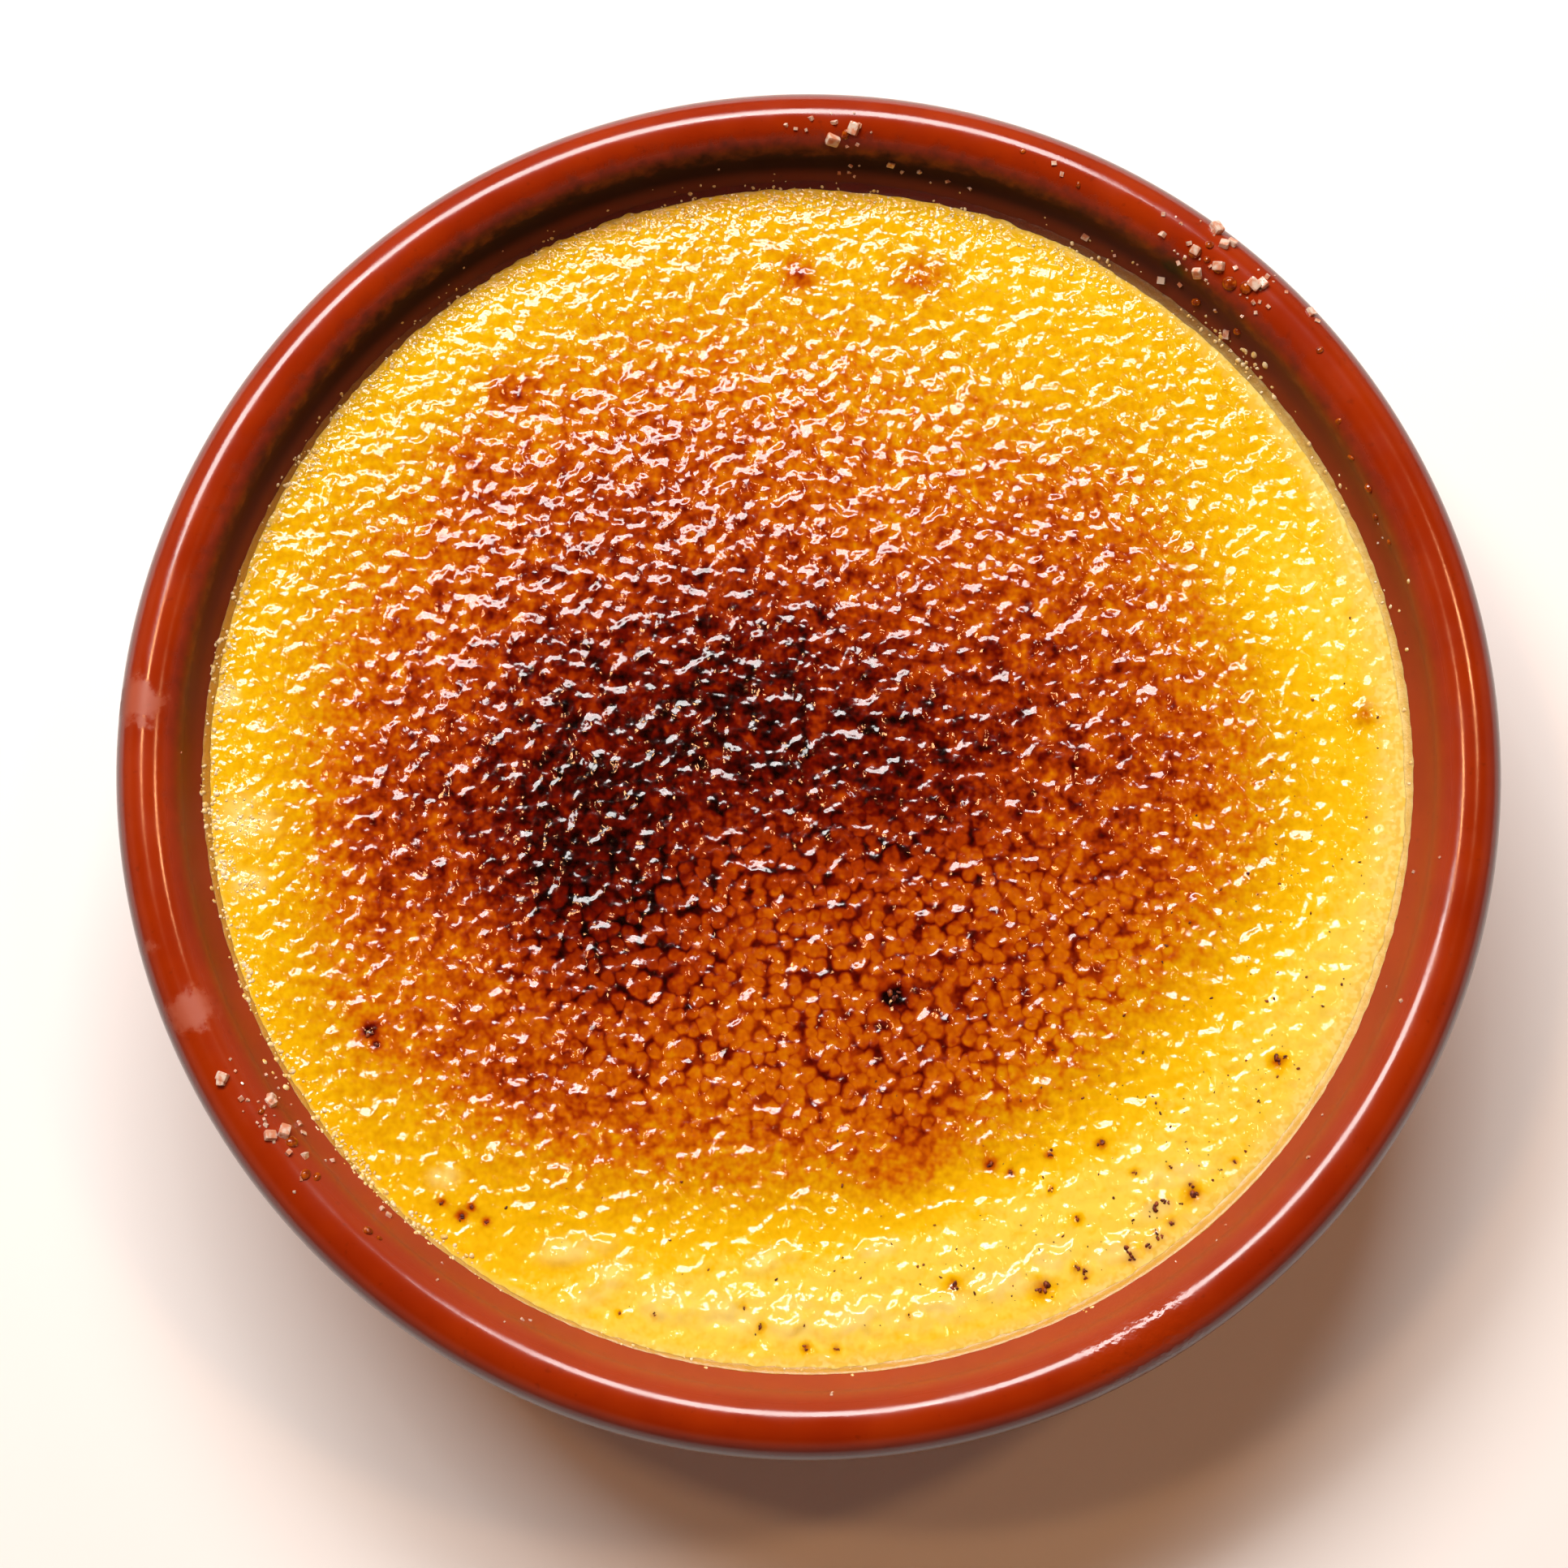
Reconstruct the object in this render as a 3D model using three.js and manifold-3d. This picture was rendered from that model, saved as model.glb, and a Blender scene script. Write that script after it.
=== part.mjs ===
// A creme brulee in the shallow glazed clay dish that it was baked in.
// Millimetres, +Z up. The origin is the centre of the dish's flat base.
//
// Three pieces, from the outside in:
//   dish           thrown clay bowl with a rolled lip, and sugar crystals stuck to that lip
//   custard        fills the dish and climbs the wall a little in a meniscus
//   caramel_crust  thin pebbled sheet of melted sugar lying on the custard, inside that meniscus
import * as THREE from "three";
import { mergeVertices } from "three/addons/utils/BufferGeometryUtils.js";
import Module from "manifold-3d";

const wasm = await Module();
wasm.setup();

// ---- driving dimensions -------------------------------------------------------------------
const RIM_RADIUS = 70; // outermost reach of the lip
const DISH_HEIGHT = 35; // table to the crest of the lip
const LIP_ROLL = 3.3; // radius of the rolled lip's round section
const LIP_UNDERCUT = 55; // degrees that the roll goes on below its widest circle, outside
const NECK_RADIUS = 67; // outer wall where it has run in under the lip
const NECK_DROP = 4.5; // from the end of the roll down to there
const BASE_RADIUS = 50; // flat foot
const HEEL_REACH = 13; // how far the outer wall's curve runs along the ground before it lifts
const FLOOR_THICKNESS = 6;
const CAVITY_FLOOR_RADIUS = 46; // flat part of the inner floor
const CAVITY_CORNER_RADIUS = 59.2; // inner wall where it leaves the rounded corner
const CAVITY_CORNER_HEIGHT = 17;
const FILL_RADIUS = 61.8; // inner wall where the custard ends
const FILL_HEIGHT = 28.2; // top of the custard's meniscus, at the wall

const MENISCUS_RISE = 1.2; // climb of the custard's edge over the bare ring
const MENISCUS_WIDTH = 1.3; // bare ring of custard between crust and wall
const SEAT_DEPTH = 0.5; // the crust's seat below the bare ring
const CRUST_THICKNESS = 0.8; // mean thickness of the melted sugar
const EDGE_THINNING = 0.3; // how much lower the crust is at its edge
const PEBBLE_HEIGHT = 0.4; // crest to hollow of the crust's pebbles
const PEBBLE_PITCH = 4.4;
const SWELL_HEIGHT = 0.4; // crest to hollow of the crust's broad unevenness
const SWELL_PITCH = 24;
const CLEARANCE = 0.3; // between neighbouring pieces

const CRYSTAL_SIZE = [0.9, 1.5]; // long edge of a large sugar crystal
const CRYSTAL_SUNK = 0.4; // share of its thickness that is sunk in the glaze
const CRYSTAL_TILT = 0.35; // radians either way

const SEGMENTS = 72; // round the axis
const CURVE_STEPS = 4; // along each curve of the cavity's outline
const LIP_STEPS = 6; // along each half of the lip's roll
const OUTSIDE_STEPS = 6; // along each curve of the outer wall
const CRUST_RINGS = 29;

// ---- materials ----------------------------------------------------------------------------
const glazedClay = new THREE.MeshStandardMaterial({ color: 0x9c3d1c, roughness: 0.18, metalness: 0 });
const bakedCustard = new THREE.MeshStandardMaterial({ color: 0xf2cf62, roughness: 0.45, metalness: 0 });
const burntSugar = new THREE.MeshStandardMaterial({ color: 0xd27a12, roughness: 0.12, metalness: 0 });

// ---- outlines -----------------------------------------------------------------------------
const LIP_CENTRE = new THREE.Vector2(RIM_RADIUS - LIP_ROLL, DISH_HEIGHT - LIP_ROLL);

// The cavity's outline, from the axis along the floor and up the wall to the lip's inner side.
function cavityOutline() {
  const lipInside = LIP_CENTRE.x - LIP_ROLL;
  const cornerControl = CAVITY_CORNER_RADIUS - 1.4;
  const path = new THREE.Path();
  path.moveTo(0, FLOOR_THICKNESS);
  path.lineTo(CAVITY_FLOOR_RADIUS, FLOOR_THICKNESS);
  path.quadraticCurveTo(cornerControl, FLOOR_THICKNESS, CAVITY_CORNER_RADIUS, CAVITY_CORNER_HEIGHT);
  path.quadraticCurveTo(CAVITY_CORNER_RADIUS + 0.8, FILL_HEIGHT - 5, FILL_RADIUS, FILL_HEIGHT);
  path.quadraticCurveTo(lipInside, LIP_CENTRE.y - 1.2, lipInside, LIP_CENTRE.y);
  return path.getPoints(CURVE_STEPS);
}

// The lip's round section, from its inner side over the crest and round to the undercut.
function lipOutline() {
  const path = new THREE.Path();
  path.absarc(LIP_CENTRE.x, LIP_CENTRE.y, LIP_ROLL, Math.PI, -THREE.MathUtils.degToRad(LIP_UNDERCUT), true);
  return path.getPoints(LIP_STEPS).slice(1);
}

// The outer wall, from the undercut in to the neck, down round the heel and along the foot to the axis.
function outsideOutline() {
  const undercut = lipOutline().at(-1);
  const neckHeight = undercut.y - NECK_DROP;
  const path = new THREE.Path();
  path.moveTo(undercut.x, undercut.y);
  path.quadraticCurveTo(NECK_RADIUS + 0.2, undercut.y - 1.6, NECK_RADIUS, neckHeight);
  path.bezierCurveTo(NECK_RADIUS - 0.5, 0.4 * neckHeight, BASE_RADIUS + HEEL_REACH, 0, BASE_RADIUS, 0);
  path.lineTo(0, 0);
  return path.getPoints(OUTSIDE_STEPS).slice(1);
}

// The custard's outline: the cavity's, set in by the clearance, then the meniscus and the crust's seat.
function custardOutline() {
  const shore = FILL_RADIUS - CLEARANCE;
  const ringHeight = FILL_HEIGHT - MENISCUS_RISE;
  const ringInner = shore - MENISCUS_WIDTH;
  const seatHeight = ringHeight - SEAT_DEPTH;
  const sides = cavityOutline()
    .filter((p) => p.y < FILL_HEIGHT - 1)
    .map((p) => new THREE.Vector2(Math.max(p.x - CLEARANCE, 0), p.y + CLEARANCE));
  const meniscus = new THREE.Path();
  meniscus.moveTo(shore, FILL_HEIGHT);
  meniscus.quadraticCurveTo(shore - 0.3 * MENISCUS_WIDTH, ringHeight, ringInner, ringHeight);
  meniscus.lineTo(ringInner, seatHeight);
  meniscus.lineTo(0, seatHeight);
  return { points: [...sides, ...meniscus.getPoints(CURVE_STEPS)], seatHeight, ringInner };
}

// ---- solids -------------------------------------------------------------------------------
function turned(points) {
  return new THREE.LatheGeometry(points, SEGMENTS).rotateX(Math.PI / 2);
}

function solidFrom(geometry) {
  const bare = new THREE.BufferGeometry();
  bare.setAttribute("position", geometry.getAttribute("position"));
  bare.setIndex(geometry.getIndex());
  const merged = mergeVertices(bare, 1e-3);
  const vertProperties = merged.getAttribute("position").array;
  const triVerts = new Uint32Array(merged.getIndex().array);
  return new wasm.Manifold(new wasm.Mesh({ numProp: 3, vertProperties, triVerts }));
}

function geometryFrom(solid) {
  const mesh = solid.getMesh();
  const geometry = new THREE.BufferGeometry();
  geometry.setAttribute("position", new THREE.BufferAttribute(mesh.vertProperties, 3));
  geometry.setIndex(new THREE.BufferAttribute(mesh.triVerts, 1));
  return geometry;
}

// ---- repeatable chance --------------------------------------------------------------------
// Random numbers from 0 to 1, drawn one after another.
function seeded(seed) {
  let state = seed;
  return () => {
    state = (state * 1664525 + 1013904223) % 4294967296;
    return state / 4294967296;
  };
}

// A random number from 0 to 1 that belongs to one cell of a square lattice.
function chanceAt(column, row, seed) {
  const wave = Math.sin(column * 127.1 + row * 311.7 + seed * 74.7) * 43758.5453;
  return wave - Math.floor(wave);
}

// Smooth noise from -0.5 to 0.5 over the plane, on a lattice of the given pitch.
function noise(x, y, pitch, seed) {
  const { lerp, smoothstep } = THREE.MathUtils;
  const [column, row] = [Math.floor(x / pitch), Math.floor(y / pitch)];
  const across = smoothstep(x / pitch - column, 0, 1);
  const along = smoothstep(y / pitch - row, 0, 1);
  const near = lerp(chanceAt(column, row, seed), chanceAt(column + 1, row, seed), across);
  const far = lerp(chanceAt(column, row + 1, seed), chanceAt(column + 1, row + 1, seed), across);
  return lerp(near, far, along) - 0.5;
}

// Rounded pebbles, one in each lattice cell: 0.5 on their tops, -0.5 in the hollows between them.
function pebbles(x, y, pitch) {
  const [column, row] = [Math.floor(x / pitch), Math.floor(y / pitch)];
  let nearest = pitch;
  for (let i = column - 1; i <= column + 1; i++)
    for (let j = row - 1; j <= row + 1; j++) {
      const centreX = (i + 0.2 + 0.6 * chanceAt(i, j, 5)) * pitch;
      const centreY = (j + 0.2 + 0.6 * chanceAt(i, j, 6)) * pitch;
      nearest = Math.min(nearest, Math.hypot(x - centreX, y - centreY));
    }
  return 0.5 - Math.min(1, nearest / (0.75 * pitch)) ** 2;
}

// ---- sugar crystals on the lip ------------------------------------------------------------
// Where loose sugar fell: direction round the dish, how far it spread along the lip, how many
// large crystals, and the span of the lip's section that they lie on (0 is the outer side,
// 90 the crest and 180 the inner side).
const SPILLS = [
  { direction: 50, spread: 4.5, count: 8, section: [40, 160] },
  { direction: 86, spread: 4, count: 2, section: [90, 140] },
  { direction: 209, spread: 2, count: 2, section: [75, 105] },
  { direction: 215, spread: 2.5, count: 4, section: [70, 160] },
];

// One crystal: a blunt block lying on the lip, a little tilted and partly sunk.
function crystal(random, spill) {
  const between = (low, high) => low + random() * (high - low);
  const size = between(...CRYSTAL_SIZE);
  const thickness = size * between(0.6, 0.8);
  const block = new THREE.BoxGeometry(thickness, size, size * between(0.7, 1));
  block.rotateX(between(0, Math.PI));
  block.rotateY(between(-CRYSTAL_TILT, CRYSTAL_TILT));
  block.rotateZ(between(-CRYSTAL_TILT, CRYSTAL_TILT));
  block.translate(LIP_ROLL + thickness * (0.5 - CRYSTAL_SUNK), 0, 0);
  block.rotateY(-THREE.MathUtils.degToRad(between(...spill.section)));
  block.translate(LIP_CENTRE.x, 0, LIP_CENTRE.y);
  return block.rotateZ(THREE.MathUtils.degToRad(spill.direction + between(-spill.spread, spill.spread)));
}

function sugaredDish() {
  const profile = [...cavityOutline(), ...lipOutline(), ...outsideOutline()];
  const random = seeded(7);
  let solid = solidFrom(turned(profile.reverse()));
  for (const spill of SPILLS)
    for (let n = 0; n < spill.count; n++) solid = solid.add(solidFrom(crystal(random, spill)));
  return geometryFrom(solid);
}

// ---- caramel crust ------------------------------------------------------------------------
// Height of the crust's top over its mean. The relief fades out where the sugar thins at the edge.
function crustRelief(x, y, edge) {
  const rim = THREE.MathUtils.smoothstep(Math.hypot(x, y) / edge, 0.92, 1);
  const swell = SWELL_HEIGHT * noise(x, y, SWELL_PITCH, 3);
  const relief = swell + PEBBLE_HEIGHT * pebbles(x, y, PEBBLE_PITCH);
  return relief * (1 - rim) - EDGE_THINNING * rim;
}

// A round sheet of even triangles: ring k holds 6k points, and each sixth of it is a row of a wedge.
// Its top follows the given heights, and its underside is flat.
function sheet(edge, top, bottom) {
  const positions = [];
  const faces = [];
  const firstOf = [];
  for (let ring = 0; ring <= CRUST_RINGS; ring++) {
    firstOf.push(positions.length / 3);
    for (let n = 0; n < Math.max(1, 6 * ring); n++) {
      const turn = (n / Math.max(1, 6 * ring)) * 2 * Math.PI;
      const [x, y] = [Math.cos(turn), Math.sin(turn)].map((v) => (v * edge * ring) / CRUST_RINGS);
      positions.push(x, y, top(x, y));
    }
  }
  const at = (ring, n) => firstOf[ring] + (n % Math.max(1, 6 * ring));
  for (let ring = 1; ring <= CRUST_RINGS; ring++)
    for (let n = 0; n < 6 * ring; n++) {
      const inner = n - Math.floor(n / ring);
      const lastOfSixth = n % ring === ring - 1;
      faces.push(at(ring, n), at(ring, n + 1), at(ring - 1, inner));
      if (!lastOfSixth) faces.push(at(ring, n + 1), at(ring - 1, inner + 1), at(ring - 1, inner));
    }
  const around = 6 * CRUST_RINGS;
  const under = positions.length / 3;
  const middle = under + around;
  for (let n = 0; n < around; n++) {
    const turn = (n / around) * 2 * Math.PI;
    positions.push(edge * Math.cos(turn), edge * Math.sin(turn), bottom);
  }
  positions.push(0, 0, bottom);
  for (let n = 0; n < around; n++) {
    const next = (n + 1) % around;
    const [above, aboveNext] = [at(CRUST_RINGS, n), at(CRUST_RINGS, next)];
    faces.push(above, under + n, under + next);
    faces.push(above, under + next, aboveNext);
    faces.push(middle, under + next, under + n);
  }
  const geometry = new THREE.BufferGeometry();
  geometry.setAttribute("position", new THREE.Float32BufferAttribute(positions, 3));
  geometry.setIndex(faces);
  return geometry;
}

function caramelCrust(seatHeight, ringInner) {
  const edge = ringInner - CLEARANCE;
  const bottom = seatHeight + CLEARANCE;
  const top = (x, y) => bottom + CRUST_THICKNESS + crustRelief(x, y, edge);
  return sheet(edge, top, bottom);
}

// ---- the dessert --------------------------------------------------------------------------
function part(name, geometry, material) {
  const mesh = new THREE.Mesh(geometry, material);
  mesh.name = name;
  return mesh;
}

const custard = custardOutline();
const dessert = new THREE.Group();
dessert.add(part("dish", sugaredDish(), glazedClay));
dessert.add(part("custard", turned(custard.points), bakedCustard));
dessert.add(part("caramel_crust", caramelCrust(custard.seatHeight, custard.ringInner), burntSugar));

export default dessert;
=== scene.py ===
# %% [markdown]
# # A creme brulee in the clay dish that it was baked in
#
# Three solid pieces come packed: the dish, the custard and the sheet of melted sugar. They fix where
# everything is. This lesson dresses them. Each is made again with a finer surface in the same place, and
# the small things that the solids leave out are added: sugar crystals, drops of caramel, burnt flecks and
# the beads of froth along the wall.
#
# Blender works in metres and a cook's dish in millimetres, so sizes are written in millimetres here and
# turned into metres when a mesh is made.

import math

import bmesh
import bpy
import numpy as np
from mathutils import Matrix, Vector
from mathutils.bvhtree import BVHTree


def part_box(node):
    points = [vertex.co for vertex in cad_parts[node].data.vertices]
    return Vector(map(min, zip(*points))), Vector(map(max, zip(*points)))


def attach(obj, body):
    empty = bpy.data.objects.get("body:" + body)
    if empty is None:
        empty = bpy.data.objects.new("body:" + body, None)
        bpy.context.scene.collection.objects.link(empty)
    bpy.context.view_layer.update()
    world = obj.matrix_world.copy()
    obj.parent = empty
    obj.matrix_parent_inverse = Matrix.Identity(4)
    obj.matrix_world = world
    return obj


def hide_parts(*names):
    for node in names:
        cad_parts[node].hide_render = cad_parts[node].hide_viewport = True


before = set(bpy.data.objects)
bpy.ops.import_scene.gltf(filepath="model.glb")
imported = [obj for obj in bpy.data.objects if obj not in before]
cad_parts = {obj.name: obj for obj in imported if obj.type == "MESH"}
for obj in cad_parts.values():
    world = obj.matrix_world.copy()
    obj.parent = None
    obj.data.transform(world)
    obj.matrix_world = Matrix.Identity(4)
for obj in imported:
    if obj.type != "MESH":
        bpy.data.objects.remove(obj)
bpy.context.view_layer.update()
MM = 0.001

dish_low, dish_high = (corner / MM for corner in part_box("dish"))
_, custard_high = (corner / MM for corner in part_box("custard"))
crust_low, crust_high = (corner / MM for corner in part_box("caramel_crust"))
print("dish across", round(dish_high.x - dish_low.x, 2), "mm, crust top", round(crust_high.z, 2), "mm")

# %% [markdown]
# ## Camera, floor and light
#
# Melted sugar is all about highlights, so the light is settled before any surface. A wide, low strip of
# window light, high on the far side and a little to the left, gives each bump of the sugar one short bright
# mark on its far slope, and gives the rolled lip one long line. A single small lamp would light the lip in
# one spot only, so the strip is a row of soft boxes that stand in an arc. Two small warm lamps add the tiny
# golden glints. The room itself is dim and warm, and darkest overhead, so that burnt sugar stays black.

# %% Camera
SERVED_CENTRE = Vector((-2.5, -3.3, 31.7)) * MM
CAMERA_ELEVATION = math.radians(80.5)
CAMERA_DISTANCE = 300 * MM
CAMERA_LENS = 68.3

towards_camera = Vector((0, -math.cos(CAMERA_ELEVATION), math.sin(CAMERA_ELEVATION)))
camera = bpy.data.objects.new("camera", bpy.data.cameras.new("camera"))
camera.data.lens = CAMERA_LENS
camera.data.clip_start = 0.01
camera.location = SERVED_CENTRE + towards_camera * CAMERA_DISTANCE
camera.rotation_euler = towards_camera.to_track_quat("Z", "Y").to_euler()
bpy.context.scene.collection.objects.link(camera)
bpy.context.scene.camera = camera
bpy.context.scene.view_settings.view_transform = "Standard"
bpy.context.scene.cycles.max_bounces = 4
bpy.context.scene.cycles.diffuse_bounces = 3
print("camera at", tuple(round(c, 4) for c in camera.location))

# %% Soft boxes
WINDOW_CENTRE = -18
WINDOW_BOXES = 3
WINDOW_BOX_SPAN = 26
WINDOW_ELEVATION = 53
WINDOW_DISTANCE = 0.8
WINDOW_HEIGHT = 0.22
WINDOW_RADIANCE = 17.5
WINDOW_TINT = (1.0, 0.98, 0.96)
LAMP_DISTANCE = 1.0
LAMP_ACROSS = 0.08
LAMP_RADIANCE = 55
LAMP_TINT = (1.0, 0.5, 0.22)


def soft_box(name, azimuth, elevation, distance, size, radiance, tint):
    """A rectangular lamp facing the dish. Azimuth 0 is the far side, and radiance is its own brightness."""
    turn, lift = math.radians(azimuth), math.radians(elevation)
    away = Vector((math.sin(turn) * math.cos(lift), math.cos(turn) * math.cos(lift), math.sin(lift)))
    lamp = bpy.data.lights.new(name, "AREA")
    lamp.shape = "RECTANGLE"
    lamp.size, lamp.size_y = size
    lamp.energy = radiance * math.pi * size[0] * size[1]
    lamp.color = tint
    holder = bpy.data.objects.new(name, lamp)
    holder.location = away * distance
    holder.rotation_euler = away.to_track_quat("Z", "Y").to_euler()
    holder.visible_camera = False
    bpy.context.scene.collection.objects.link(holder)
    return holder


arc_radius = WINDOW_DISTANCE * math.cos(math.radians(WINDOW_ELEVATION))
box_width = 2 * arc_radius * math.tan(math.radians(WINDOW_BOX_SPAN / 2))
for number in range(WINDOW_BOXES):
    azimuth = WINDOW_CENTRE + (number - (WINDOW_BOXES - 1) / 2) * WINDOW_BOX_SPAN
    soft_box(
        "window_%d" % (number + 1), azimuth, WINDOW_ELEVATION, WINDOW_DISTANCE,
        (box_width, WINDOW_HEIGHT), WINDOW_RADIANCE, WINDOW_TINT,
    )
for side, azimuth, elevation in (("right", 62, 62), ("left", -62, 66)):
    lamp_size = (LAMP_ACROSS, LAMP_ACROSS)
    soft_box("ceiling_lamp_" + side, azimuth, elevation, LAMP_DISTANCE, lamp_size, LAMP_RADIANCE, LAMP_TINT)

# %% Dim room
ROOM_LOW = (0.9, 0.46, 0.25, 1)
ROOM_HIGH = (0.012, 0.009, 0.008, 1)

world = bpy.data.worlds.new("room")
world.use_nodes = True
room = world.node_tree
heading = room.nodes.new("ShaderNodeTexCoord").outputs["Generated"]
split = room.nodes.new("ShaderNodeSeparateXYZ")
fade = room.nodes.new("ShaderNodeValToRGB")
room.links.new(heading, split.inputs[0])
room.links.new(split.outputs[2], fade.inputs["Fac"])
room.links.new(fade.outputs["Color"], room.nodes["Background"].inputs["Color"])
fade.color_ramp.elements[0].position = 0.25
fade.color_ramp.elements[0].color = ROOM_LOW
fade.color_ramp.elements[1].position = 0.7
fade.color_ramp.elements[1].color = ROOM_HIGH
bpy.context.scene.world = world
print("room from", ROOM_LOW[0], "at the horizon to", ROOM_HIGH[0], "overhead")

# %% [markdown]
# ## Wiring nodes
#
# A material and a Geometry Nodes tree use many of the same nodes, such as Noise, Voronoi, Math and Map
# Range. One small set of helpers wires both kinds of tree, which lets one recipe drive the shape of the
# sugar and its colour alike.


# %% Node helpers
def plug(tree, value, socket):
    """Wires a socket into another, or sets a plain value on it."""
    if isinstance(value, bpy.types.NodeSocket):
        tree.links.new(value, socket)
    else:
        socket.default_value = value


def add_node(tree, kind, inputs=None, **settings):
    made = tree.nodes.new(kind)
    for setting, value in settings.items():
        setattr(made, setting, value)
    for socket, value in (inputs or {}).items():
        plug(tree, value, made.inputs[socket])
    return made


def calc(tree, operation, first, *others, clamp=False):
    """Adds, multiplies or compares two values or more, with one Math node for each pair."""
    for other in others:
        first = add_node(tree, "ShaderNodeMath", {0: first, 1: other}, operation=operation).outputs[0]
    first.node.use_clamp = clamp
    return first


def plus(tree, *values, clamp=False):
    return calc(tree, "ADD", *values, clamp=clamp)


def minus(tree, first, second):
    return calc(tree, "SUBTRACT", first, second)


def times(tree, *values):
    return calc(tree, "MULTIPLY", *values)


def vector(tree, operation, first, second=None):
    """One Vector Math node. SCALE takes a number as its second value, and some operations give one back."""
    inputs = {0: first}
    if second is not None:
        inputs["Scale" if operation == "SCALE" else 1] = second
    made = add_node(tree, "ShaderNodeVectorMath", inputs, operation=operation)
    return made.outputs[1 if operation in ("LENGTH", "DISTANCE", "DOT_PRODUCT") else 0]


def shifted(tree, place, by, scale=(1, 1, 1)):
    return vector(tree, "ADD", vector(tree, "MULTIPLY", place, scale), by)


def blend(tree, value, low, high, to_low=0.0, to_high=1.0):
    """Turns a value that runs from low to high smoothly into one that runs from to_low to to_high."""
    inputs = {"Value": value, "From Min": low, "From Max": high, "To Min": to_low, "To Max": to_high}
    return add_node(tree, "ShaderNodeMapRange", inputs, interpolation_type="SMOOTHSTEP").outputs[0]


def noise(tree, place, pitch, detail, rough, flat):
    """A Noise Texture with features about pitch millimetres across."""
    inputs = {"Vector": place, "Scale": 1 / pitch, "Detail": detail, "Roughness": rough}
    return add_node(tree, "ShaderNodeTexNoise", inputs, noise_dimensions="2D" if flat else "3D")


def grain(tree, place, pitch, detail=2.0, rough=0.5, flat=False):
    """Noise as a number from 0 to 1."""
    return noise(tree, place, pitch, detail, rough, flat).outputs[0]


def wander(tree, place, pitch, size, flat=False):
    """Noise as a shift of at most half of size, in every direction."""
    drift = noise(tree, place, pitch, 1.0, 0.5, flat).outputs[1]
    return vector(tree, "SCALE", vector(tree, "SUBTRACT", drift, (0.5, 0.5, 0.5)), size)


def colour_mix(tree, share, first, second):
    made = add_node(tree, "ShaderNodeMix", data_type="RGBA", blend_type="MIX")
    for index, value in ((0, share), (6, first), (7, second)):
        plug(tree, value, made.inputs[index])
    return made.outputs[2]


def layer(tree, under, where, strength, over):
    """Lays one colour over another: fully where 'where' is 1 and strength is 1."""
    return colour_mix(tree, times(tree, where, strength), under, over)


LIGHT_LEVEL = 1.15


def tone(red, green, blue):
    """The paint that looks like this colour, 0 to 255, under the window's light."""
    chart = np.array([red, green, blue]) / 255
    linear = np.where(chart <= 0.04045, chart / 12.92, ((chart + 0.055) / 1.055) ** 2.4)
    return (*(float(v) for v in linear / LIGHT_LEVEL), 1.0)


def new_finish(name):
    """An empty material: its tree, its shader, and the place in millimetres on the piece."""
    material = bpy.data.materials.new(name)
    material.use_nodes = True
    tree = material.node_tree
    shader = tree.nodes["Principled BSDF"]
    place = vector(tree, "SCALE", add_node(tree, "ShaderNodeTexCoord").outputs["Object"], 1 / MM)
    return material, tree, shader, place


def relief_of(tree, height, depth=MM):
    """Shading relief from a height in millimetres."""
    inputs = {"Height": height, "Distance": depth, "Strength": 1.0}
    return add_node(tree, "ShaderNodeBump", inputs).outputs["Normal"]


def set_inputs(shader, values):
    for name, value in values.items():
        shader.inputs[name].default_value = value


def let_light_in(shader, reach, by_colour):
    """Light goes in and comes out again within reach millimetres, farther for red than for blue."""
    shader.subsurface_method = "BURLEY"
    set_inputs(shader, {"Subsurface Weight": 1.0, "Subsurface Radius": by_colour})
    set_inputs(shader, {"Subsurface Scale": reach * MM})


print("node helpers ready")

# %% [markdown]
# ## Floor
#
# A wide pale floor that turns up into a wall far behind. It keeps the background even from low angles.

# %% Floor
FLOOR_RADIUS = 1.6
FLOOR_BEND = 0.5
FLOOR_WALL = 1.2
FLOOR_SIDES = 64
FLOOR_PAINT = (0.93, 0.925, 0.92, 1)


def floor_sweep():
    """A disc whose edge bends up into a low round wall."""
    outline = [(FLOOR_RADIUS * s, 0.0) for s in (0.2, 0.6, 1.0)]
    for step in range(1, 9):
        bend = math.radians(90 * step / 8)
        outline.append((FLOOR_RADIUS + FLOOR_BEND * math.sin(bend), FLOOR_BEND * (1 - math.cos(bend))))
    outline.append((FLOOR_RADIUS + FLOOR_BEND, FLOOR_WALL))
    points = [(0, 0, 0)]
    faces = []
    for radius, height in outline:
        for side in range(FLOOR_SIDES):
            turn = 2 * math.pi * side / FLOOR_SIDES
            points.append((radius * math.cos(turn), radius * math.sin(turn), height))
    for side in range(FLOOR_SIDES):
        after = (side + 1) % FLOOR_SIDES
        faces.append((0, 1 + side, 1 + after))
        for ring in range(len(outline) - 1):
            inner = 1 + ring * FLOOR_SIDES
            outer = inner + FLOOR_SIDES
            faces.append((inner + side, outer + side, outer + after, inner + after))
    mesh = bpy.data.meshes.new("floor")
    mesh.from_pydata(points, [], faces)
    mesh.shade_smooth()
    return mesh


floor = bpy.data.objects.new("floor", floor_sweep())
floor_paint, _, floor_shader, _ = new_finish("white_table")
set_inputs(floor_shader, {"Base Color": FLOOR_PAINT, "Roughness": 0.9, "Specular IOR Level": 0.1})
floor.data.materials.append(floor_paint)
bpy.context.scene.collection.objects.link(floor)
print("floor across", 2 * FLOOR_RADIUS, "m")

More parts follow.
